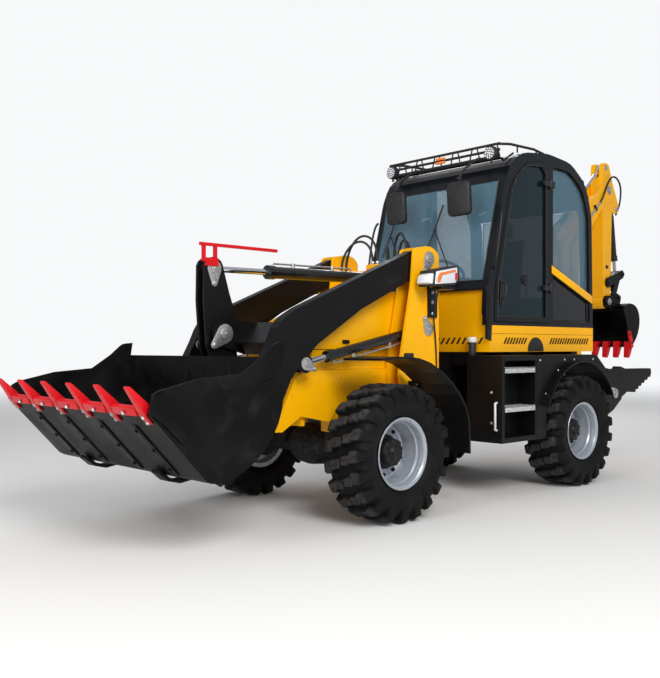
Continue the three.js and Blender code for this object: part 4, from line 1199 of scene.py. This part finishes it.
mirror_face = plain(
    "mirror_face", 3.0, (0.80, 0.82, 0.84), (0.72, 0.75, 0.78), 0.03, (2.0,), 0.0002, Metallic=1.0,
)
corner = 0.050
mirror_height = 2.715
for word, y0, y1 in (("left", 0.320, 0.580), ("right", -0.450, -0.210)):
    middle = (y0 + y1) / 2
    outline = []
    for i in range(24):
        turn = math.tau * (i + 0.5) / 24
        c, s = math.cos(turn), math.sin(turn)
        outline.append((
            math.copysign((y1 - y0) / 2 - corner, c) + corner * c,
            math.copysign(0.155 - corner, s) + corner * s,
        ))
    back = slab(outline, -0.026, 0.026)
    tilt = Matrix.Rotation(math.radians(4), 4, "Y") @ Matrix.Rotation(math.radians(90), 4, "Z")
    back.data.transform(Matrix.Translation((-1.405, middle, mirror_height)) @ tilt)
    finished(back, f"mirror_back_{word}", "rear_frame", plastic, "black_paint", 0.013, smooth=50)
    glass = slab([(u * 0.86, v * 0.90) for u, v in outline], -0.002, 0.002)
    glass.data.transform(Matrix.Translation((-1.4325, middle, mirror_height)) @ tilt)
    finished(glass, f"mirror_face_{word}", "rear_frame", mirror_face, "wheel_silver", 0.001)
    arm_line = ((rack_x, 3.120), (rack_x + 0.10, 3.085), (-1.440, 2.985), (-1.412, 2.930), (-1.410, 2.850))
    arm = pipe([(x, middle, z) for x, z in arm_line], 0.011)
    clamps = [
        disc((-1.412, middle - 0.022, 2.905), (0, 1, 0), 0.020, 0.044, 16),
        disc((rack_x, middle - 0.020, 3.122), (0, 1, 0), 0.021, 0.040, 16),
    ]
    arm = joined("arm", [arm, *clamps])
    finished(arm, f"mirror_arm_{word}", "rear_frame", plastic, "black_paint", 0.001)

# Two work lamps at each back corner of the roof.
for word, side in SIDES:
    for number, (x, z) in enumerate(((-3.215, 2.930), (-3.170, 3.060))):
        round_lamp(
            f"rear_lamp_{word}_{number}", "rear_frame", (x - 0.030, side * 0.640, z), (-1, 0, -0.12), 0.050,
        )

# ---------------------------------------------------------------- steps and platforms
# Bright treads with rows of serrations, a white grab bar by the step box, a rolled black
# mudguard lip over each rear tyre, bolt heads, and a lamp cluster on each tail.

aluminium = Finish("tread_aluminium", Metallic=0.75)
wear = aluminium.noise(45.0, 4.0).between(0.35, 0.7)
aluminium.set(
    Base_Color=aluminium.mix(wear, (0.86, 0.87, 0.88), (0.58, 0.58, 0.57)), Roughness=0.28 + wear * 0.22,
)
aluminium.bump(aluminium.noise(260.0), 0.0004)
white_bar = plain(
    "grab_white", 25.0, (0.80, 0.81, 0.82), (0.60, 0.61, 0.62), 0.4, (300.0,), 0.0003,
    Specular_IOR_Level=0.5,
)

tread_front = -1.372
tread_back = -1.836
tread_edge = 0.9835
serrations = 22
pitch = (tread_front - tread_back) / serrations
ridge_line = ((0.15, 0.003), (0.5, 0.011), (0.85, 0.003))
platform_side = 0.980
wheel_x = pin["wheel_rear_left_spin"].x - axle_x


def guard_arc(radius, first=22, swept=130, steps=26):
    """Points along an arc over a rear tyre, from so many degrees above the front horizontal."""
    turns = [math.radians(first + swept * i / steps) for i in range(steps + 1)]
    return [(wheel_x + 0.042 + radius * math.cos(a), 0.560 + radius * math.sin(a)) for a in turns]


for word, side in SIDES:
    for number, top in enumerate((0.812, 1.157)):
        parts = [
            block((tread_back, side * 0.812, top), (tread_front, side * tread_edge, top + 0.004)),
            block((tread_back, side * 0.9755, top - 0.040), (tread_front, side * tread_edge, top + 0.004)),
        ]
        for i in range(serrations):
            x = tread_back + pitch * i
            ridge = [(x + pitch * share, top + rise) for share, rise in ridge_line]
            parts += [slab(ridge, *across(side, y - 0.004, y + 0.004)) for y in (0.845, 0.905, 0.9795)]
        tread = joined("tread", parts)
        finished(tread, f"step_tread_{word}_{number}", "rear_frame", aluminium, "wheel_silver")
        bolts(
            f"tread_bolts_{word}_{number}", "rear_frame",
            [(x, side * tread_edge, top - 0.018) for x in (tread_back + 0.035, tread_front - 0.035)],
            (0, side, 0), 0.008,
        )
    grab_line = ((-1.326, 0.615), (-1.302, 0.622), (-1.302, 0.850), (-1.326, 0.857))
    grab = pipe([(x, side * 0.925, z) for x, z in grab_line], 0.011, soft=False, sides=3)
    finished(grab, f"grab_bar_{word}", "rear_frame", white_bar, "wheel_silver", smooth=60)
    places = [(-1.3257, side * 0.870, z) for z in (0.675, 0.945)]
    bolts(f"box_bolts_{word}", "rear_frame", places, (1, 0, 0), 0.010)

    outer = guard_arc(0.646)
    guard = slab([*outer, *reversed(guard_arc(0.638))], *across(side, 0.905, 1.045))
    bead = pipe([(x, side * 1.045, z) for x, z in outer], 0.008, soft=False, sides=2)
    flange = [*guard_arc(0.690), *reversed(outer)]
    rib = slab(flange, *across(side, platform_side, platform_side + 0.005))
    finished(joined("guard", [guard, bead, rib]), f"rear_guard_{word}", "rear_frame", black, "black_paint")
    places = [(x, side * (platform_side + 0.004), z) for x, z in guard_arc(0.668, 32, 104, 4)]
    bolts(f"guard_bolts_{word}", "rear_frame", places, (0, side, 0), 0.009)
    bolts(
        f"platform_bolts_{word}", "rear_frame",
        [(x, side * platform_side, 1.225) for x in (-1.92, -2.34, -2.86)], (0, side, 0), 0.009,
    )
    # The platform's seam is a thin dark strip: a painted shadow of the groove.
    seam_shadow = slab(
        [(-1.860, 0.505), (-1.860, 1.265), (-1.864, 1.265), (-1.864, 0.505)],
        *across(side, 0.9795, 0.9812),
    )
    finished(seam_shadow, f"platform_seam_{word}", "rear_frame", shade_and_stripe_black, "black_paint")
    lamps = (
        (0.905, 0.975, red_lens, "red_paint"), (0.980, 1.030, amber_lens, "red_paint"),
        (1.035, 1.070, clear_lens, "tinted_glass"),
    )
    for number, (low, high, lens, slot) in enumerate(lamps):
        lamp = block((-3.128, side * 0.840, low), (-3.148, side * 0.935, high))
        finished(lamp, f"tail_lamp_{word}_{number}", "rear_frame", lens, slot, 0.004)
    base = block((-3.119, side * 0.828, 0.893), (-3.130, side * 0.947, 1.082))
    finished(base, f"tail_lamp_base_{word}", "rear_frame", plastic, "black_paint", 0.003)

# Front mudguards: bolt heads on the bracket and a rubber stop on top.
for word, side in SIDES:
    bolts(
        f"fender_bolts_{word}", "front_frame",
        [(x, side * 0.660, 1.036) for x in (-0.675, -0.565)], (0, side, 0), 0.010,
    )
    lug_top = block((-0.190, side * 0.90, 1.252), (-0.130, side * 0.96, 1.300))
    finished(lug_top, f"fender_lug_{word}", "front_frame", hose_rubber, "black_paint", 0.008)

# ---------------------------------------------------------------- seat, dash and levers
# A suspension seat with padded cushions in grained vinyl over a steel base and bellows, its
# belt, the dash's panel, gauges and screen, and the lever stands of loader and backhoe.

vinyl = Finish("seat_vinyl", Specular_IOR_Level=0.4)
grain = vinyl.node("ShaderNodeTexVoronoi", out="Distance", Vector=vinyl.place, Scale=420.0)
shade = vinyl.noise(8.0).between(0.35, 0.7)
vinyl.set(
    Base_Color=vinyl.mix(shade, (0.014, 0.014, 0.016), (0.026, 0.026, 0.029)), Roughness=0.50 + shade * 0.12,
)
vinyl.bump(grain, 0.0006)


cloth_frames = 20


def stuffed(name, shape, cap, channels):
    """A cushion: the shape is remeshed, blown up as cloth by no more than a cap, and piped and
    stitched along lines that are laid onto its swollen skin."""
    pick(shape)
    voxels = shape.modifiers.new("voxels", "REMESH")
    voxels.mode = "VOXEL"
    voxels.voxel_size = 0.012
    bpy.ops.object.modifier_apply(modifier="voxels")
    before = [vertex.co.copy() for vertex in shape.data.vertices]
    cloth = shape.modifiers.new("cloth", "CLOTH")
    cloth.settings.use_pressure = True
    cloth.settings.uniform_pressure_force = 4.0
    cloth.settings.effector_weights.gravity = 0.0
    cloth.settings.quality = 4
    cloth.point_cache.frame_start = 1
    cloth.point_cache.frame_end = cloth_frames
    for number in range(1, cloth_frames + 1):
        bpy.context.scene.frame_set(number)
    bpy.ops.object.modifier_apply(modifier="cloth")
    bpy.context.scene.frame_set(1)
    for vertex, start in zip(shape.data.vertices, before):
        moved = vertex.co - start
        if moved.length > cap:
            vertex.co = start + moved.normalized() * cap
    smooth = shape.modifiers.new("smooth", "SMOOTH")
    smooth.iterations = 3
    bpy.ops.object.modifier_apply(modifier="smooth")
    lines = []
    for route, radius in channels:
        laid = [shape.closest_point_on_mesh(Vector(place))[1] for place in route]
        lines.append(pipe([tuple(place) for place in laid], radius, soft=False, sides=2))
    piping = joined("piping", lines)
    finished(piping, f"{name}_piping", "rear_frame", hose_rubber, "seat_vinyl", smooth=60)
    pad = finished(shape, name, "rear_frame", vinyl, "seat_vinyl", smooth=80)
    return pad


def crowned(x0, x1, half, z0, z1, lean=0.0):
    """A soft block with pulled-in corners, which leans back as it rises."""
    made = block((x0, -half, z0), (x1, half, z1))
    pick(made)
    bpy.ops.object.mode_set(mode="EDIT")
    bpy.ops.mesh.select_all(action="SELECT")
    bpy.ops.mesh.bevel(offset=0.030, segments=3, affect="EDGES")
    bpy.ops.object.mode_set(mode="OBJECT")
    for vertex in made.data.vertices:
        vertex.co.x -= (vertex.co.z - z0) * lean
    return made


def ring(x0, x1, half, z, steps=14):
    """Points round a cushion's middle, on a rounded rectangle."""
    points = []
    for i in range(steps * 4 + 1):
        turn = math.tau * i / (steps * 4)
        c, s = math.cos(turn), math.sin(turn)
        grow = 1 / max(abs(c), abs(s)) ** 0.7
        points.append(((x0 + x1) / 2 + c * grow * (x1 - x0) / 2, s * grow * half, z))
    return points


seat_front, seat_back = -2.205, -2.665
seat_half = 0.225


def seam_line(x, half, z, radius, steps=12):
    """A straight stitched seam across a cushion, with its radius."""
    return [(x, -half + 2 * half * k / steps, z) for k in range(steps + 1)], radius


cross_lines = [seam_line(seat_front - 0.13 * i, 0.19, 1.92, 0.0028) for i in (1, 2)]
seat_pad = stuffed(
    "seat_cushion", crowned(seat_back, seat_front, seat_half, 1.800, 1.880), 0.018,
    [(ring(seat_back, seat_front, seat_half, 1.842), 0.0040), *cross_lines],
)
back_lines = [seam_line(-2.54 - (z - 1.90) * 0.13, 0.18, z, 0.0028) for z in (2.06, 2.22, 2.38)]
back_pad = stuffed(
    "backrest_cushion", crowned(-2.690, -2.620, 0.215, 1.915, 2.465, lean=0.13), 0.018, back_lines,
)
head_pad = stuffed(
    "headrest_cushion", crowned(-2.765, -2.705, 0.120, 2.500, 2.640), 0.014,
    [seam_line(-2.70, 0.09, 2.57, 0.0026, steps=8)],
)
shell_line = [(-2.712, 1.840), (-2.700, 1.840), (-2.775, 2.475), (-2.790, 2.475)]
shell_back = slab(shell_line, -seat_half, seat_half)
stems = [pipe([(-2.755, y, 2.44), (-2.745, y, 2.56)], 0.006, soft=False) for y in (-0.06, 0.06)]
seat_pan = block((seat_back, -seat_half, 1.775), (seat_front, seat_half, 1.800))
bellows = [
    block(
        (-2.62, -0.19 + 0.008 * (i % 2), 1.56 + 0.036 * i),
        (-2.28, 0.19 - 0.008 * (i % 2), 1.596 + 0.036 * i),
    )
    for i in range(6)
]
cab_floor = 1.343
plinth = block((-2.64, -0.20, cab_floor), (-2.26, 0.20, 1.562))
arm_rests = [block((-2.62, y - 0.030, 2.045), (-2.33, y + 0.030, 2.085)) for y in (-0.275, 0.275)]
arm_posts = [
    slab([(-2.64, 1.800), (-2.60, 1.800), (-2.58, 2.050), (-2.62, 2.050)], y - 0.012, y + 0.012)
    for y in (-0.262, 0.262)
]
seat_frame = joined("seat_frame", [shell_back, *stems, seat_pan, *bellows, plinth, *arm_rests, *arm_posts])
seat_frame = finished(seat_frame, "seat_frame_shown", "rear_frame", plastic, "black_paint", 0.005)
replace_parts(seat_frame, "operator_seat")
for piece in (seat_pad, back_pad, head_pad):
    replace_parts(piece, "operator_seat")
belt = slab(
    [(-2.655, 1.895), (-2.640, 1.915), (-2.520, 1.925), (-2.520, 1.921), (-2.638, 1.909), (-2.651, 1.890)],
    -0.235, -0.190,
)
finished(belt, "seat_belt", "rear_frame", red, "red_paint")

coat(plastic.material, "dash_console")
screen_glow = plain(
    "screen_dark", 9.0, (0.012, 0.016, 0.024), (0.03, 0.04, 0.06), 0.12, (150.0,), 0.0002,
    Coat_Weight=1.0, Coat_Roughness=0.04,
)
panel = slab([(-1.720, 1.868), (-1.700, 1.902), (-1.775, 1.782), (-1.781, 1.770)], -0.30, 0.30)
finished(panel, "dash_panel", "rear_frame", charcoal, "black_paint", 0.002)
screen = block((-1.640, -0.52, 1.930), (-1.615, -0.36, 2.060))
screen_stem = pipe([(-1.62, -0.44, 1.95), (-1.58, -0.44, 1.86), (-1.56, -0.33, 1.80)], 0.010)
finished(joined("screen", [screen, screen_stem]), "screen_case", "rear_frame", plastic, "black_paint", 0.004)
screen_pane = block((-1.6415, -0.508, 1.942), (-1.6395, -0.372, 2.048))
finished(screen_pane, "screen_face", "rear_frame", screen_glow, "black_paint")
gauges = [disc((-1.742, y, 1.835), (-0.87, 0, 0.50), 0.034, 0.014, 24) for y in (-0.20, -0.11, 0.11, 0.20)]
finished(joined("gauges", gauges), "dash_gauges", "rear_frame", screen_glow, "black_paint", 0.002)

boot_height = cab_floor + 0.42
knob_height = 2.02
for name, x, y in (
    ("loader_lever", -2.16, -0.36), ("boom_lever_left", -2.86, 0.22), ("boom_lever_right", -2.86, -0.22),
):
    box_low = block((x - 0.07, y - 0.07, cab_floor), (x + 0.07, y + 0.07, boot_height))
    boot = disc((x, y, boot_height), (0, 0, 1), 0.045, 0.050, 20)
    bend = [(x, y, boot_height + 0.02), (x + 0.02, y, boot_height + 0.14), (x + 0.03, y, knob_height - 0.03)]
    rod = pipe(bend, 0.008)
    stand = joined("stand", [box_low, boot, rod])
    finished(stand, f"{name}_stand", "rear_frame", plastic, "black_paint", 0.004)
    deselect()
    bpy.ops.mesh.primitive_uv_sphere_add(
        segments=20, ring_count=12, radius=0.027, location=(x + 0.03, y, knob_height),
    )
    bpy.ops.object.transform_apply()
    finished(bpy.context.object, f"{name}_knob", "rear_frame", charcoal, "black_paint", smooth=80)

# ---------------------------------------------------------------- backhoe
# Pin heads at every joint, steel pipes along the boom with clamps, hoses that loop over the
# elbow, forged red teeth and side cutters on the bucket, and the stabilisers' pins.

boom_root = station("boom_lower")
boom_ram_base = station("boom_ram_barrel_swing")
boom_ram_eye = (-3.600, 2.300)
stick_pivot = station("stick_extend")
stick_ram_eye = (-4.755, 3.545)
digger_pivot = station("digger_curl")
lever_pivot = station("curl_lever_turn")
lever_end = station("digger_link_turn")
curl_ram_base = station("curl_ram_barrel_swing")
stick_ram_base = station("stick_ram_barrel_swing")
digger_link_pin = (-4.985, 1.960)


def pin_head(name, body, place, out, radius, material=zinc, slot="wheel_silver"):
    """A shouldered pin end with its cross bolt, on both sides of a joint."""
    parts = []
    for side in (1, -1):
        x, z = place
        parts.append(disc((x, side * out, z), (0, side, 0), radius, 0.007, 28))
        parts.append(disc((x, side * (out + 0.007), z), (0, side, 0), radius * 0.62, 0.010, 24))
        parts.append(hexagon("cross", (x, side * (out + 0.017), z), (0, side, 0), radius * 0.24, 0.008))
    return finished(joined(name, parts), name, body, material, slot, 0.0015)


pin_head("boom_root_pin", "swing_post_body", boom_root, 0.148, 0.062)
pin_head("boom_ram_base_pin", "swing_post_body", boom_ram_base, 0.148, 0.046)
pin_head("boom_ram_eye_pin", "boom_body", boom_ram_eye, 0.048, 0.040)
pin_head("stick_ram_base_pin", "boom_body", stick_ram_base, 0.048, 0.040)
pin_head("stick_pivot_pin", "boom_body", stick_pivot, 0.105, 0.052)
eye_x, eye_z = stick_ram_eye
flush_pin = [disc((eye_x, side * 0.080, eye_z), (0, side, 0), 0.034, 0.003, 28) for side in (1, -1)]
finished(joined("pin", flush_pin), "stick_ram_eye_pin", "stick_body", zinc, "wheel_silver", 0.001)
pin_head("curl_ram_base_pin", "stick_body", curl_ram_base, 0.080, 0.034)
pin_head("lever_pivot_pin", "curl_lever_body", lever_pivot, 0.104, 0.034, plastic, "black_paint")
pin_head("lever_end_pin", "curl_lever_body", lever_end, 0.104, 0.030, plastic, "black_paint")
pin_head("digger_pivot_pin", "digger_bucket_body", digger_pivot, 0.132, 0.042)
pin_head("digger_link_pin_head", "digger_bucket_body", digger_link_pin, 0.132, 0.032, plastic, "black_paint")
for word, side in SIDES:
    place = station(f"stabiliser_{word}_lower")
    locked_pin(f"stabiliser_pin_{word}", "rear_frame", place, side, 0.040, (1, 0.6), 0.900)

boom_line = [(-4.015, 1.420), (-3.900, 1.980), (-3.885, 2.480), (-4.000, 2.620), (-4.560, 3.090)]
for word, side in SIDES:
    for number, shift in enumerate((0.0, 0.042)):
        run = [(x - shift * 0.8, side * 0.116, z + shift * 0.35) for x, z in boom_line]
        tube = pipe(run, 0.009, soft=False)
        finished(tube, f"boom_pipe_{word}_{number}", "boom_body", zinc, "wheel_silver", smooth=60)
    clamps = []
    for x, z, turn in ((-3.975, 1.62, 0.0), (-3.912, 2.22, 0.0), (-4.155, 2.775, 0.9), (-4.450, 3.020, 0.9)):
        clamp = block((-0.046, side * 0.104, -0.014), (0.030, side * 0.128, 0.014))
        clamp.data.transform(Matrix.Translation((x, 0, z)) @ Matrix.Rotation(-turn, 4, "Y"))
        clamps.append(clamp)
    finished(joined("clamps", clamps), f"boom_clamps_{word}", "boom_body", plastic, "black_paint", 0.002)
    loop = [
        (-4.560, 0.116, 3.090), (-4.640, 0.120, 3.170), (-4.730, 0.126, 3.400), (-4.900, 0.126, 3.470),
        (-5.080, 0.110, 3.380), (-5.130, 0.080, 3.200), (-5.110, 0.060, 3.080), (-5.060, 0.048, 3.000),
    ]
    hose = pipe(mirrored(loop, side), 0.011)
    hose = finished(hose, f"elbow_hose_{word}", None, hose_rubber, "black_paint", smooth=60)
    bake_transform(hose)
    stub = disc((-4.012, side * 0.116, 1.420), (0.15, 0, -1), 0.013, 0.050, 6)
    finished(stub, f"boom_pipe_union_{word}", "boom_body", zinc, "wheel_silver")

for word, side in SIDES:
    place = (-4.778, side * 0.080, 2.330)
    bolts(f"stick_stop_{word}", "stick_body", [place], (0, side, 0), 0.018, plastic, "black_paint")

# The digging bucket's forged teeth, each with its cross pin, and a bolted cutter on each cheek.
digger_half = 0.262
cutter_face = digger_half + 0.014
tooth_line = [
    (-5.012, 1.392), (-5.024, 1.420), (-5.104, 1.420), (-5.116, 1.392), (-5.062, 1.255),
    (-5.030, 1.212), (-4.994, 1.224), (-4.998, 1.290),
]
teeth = []
for i in range(4):
    y = -0.218 + 0.436 * i / 3
    tooth = slab(tooth_line, y - 0.038, y + 0.038)
    for vertex in tooth.data.vertices:
        if vertex.co.z < 1.30:
            vertex.co.y = y + (vertex.co.y - y) * 0.80
    teeth.append(tooth)
    for side in (1, -1):
        teeth.append(disc((-5.055, y + side * 0.038, 1.365), (0, side, 0), 0.011, 0.006, 12))
finished(joined("digger_teeth", teeth), "digger_teeth", "digger_bucket_body", red, "red_paint", 0.004)
for word, side in SIDES:
    cutter = slab(
        [
            (-5.085, 1.352), (-5.065, 1.440), (-5.010, 1.545), (-4.955, 1.545), (-4.962, 1.470),
            (-5.000, 1.400), (-5.025, 1.318),
        ],
        *across(side, digger_half, cutter_face),
    )
    finished(cutter, f"digger_cutter_{word}", "digger_bucket_body", red, "red_paint", 0.003)
    bolts(
        f"digger_cutter_bolts_{word}", "digger_bucket_body",
        [(-5.040, side * cutter_face, 1.400), (-4.992, side * cutter_face, 1.500)],
        (0, side, 0), 0.011, plastic, "black_paint",
    )
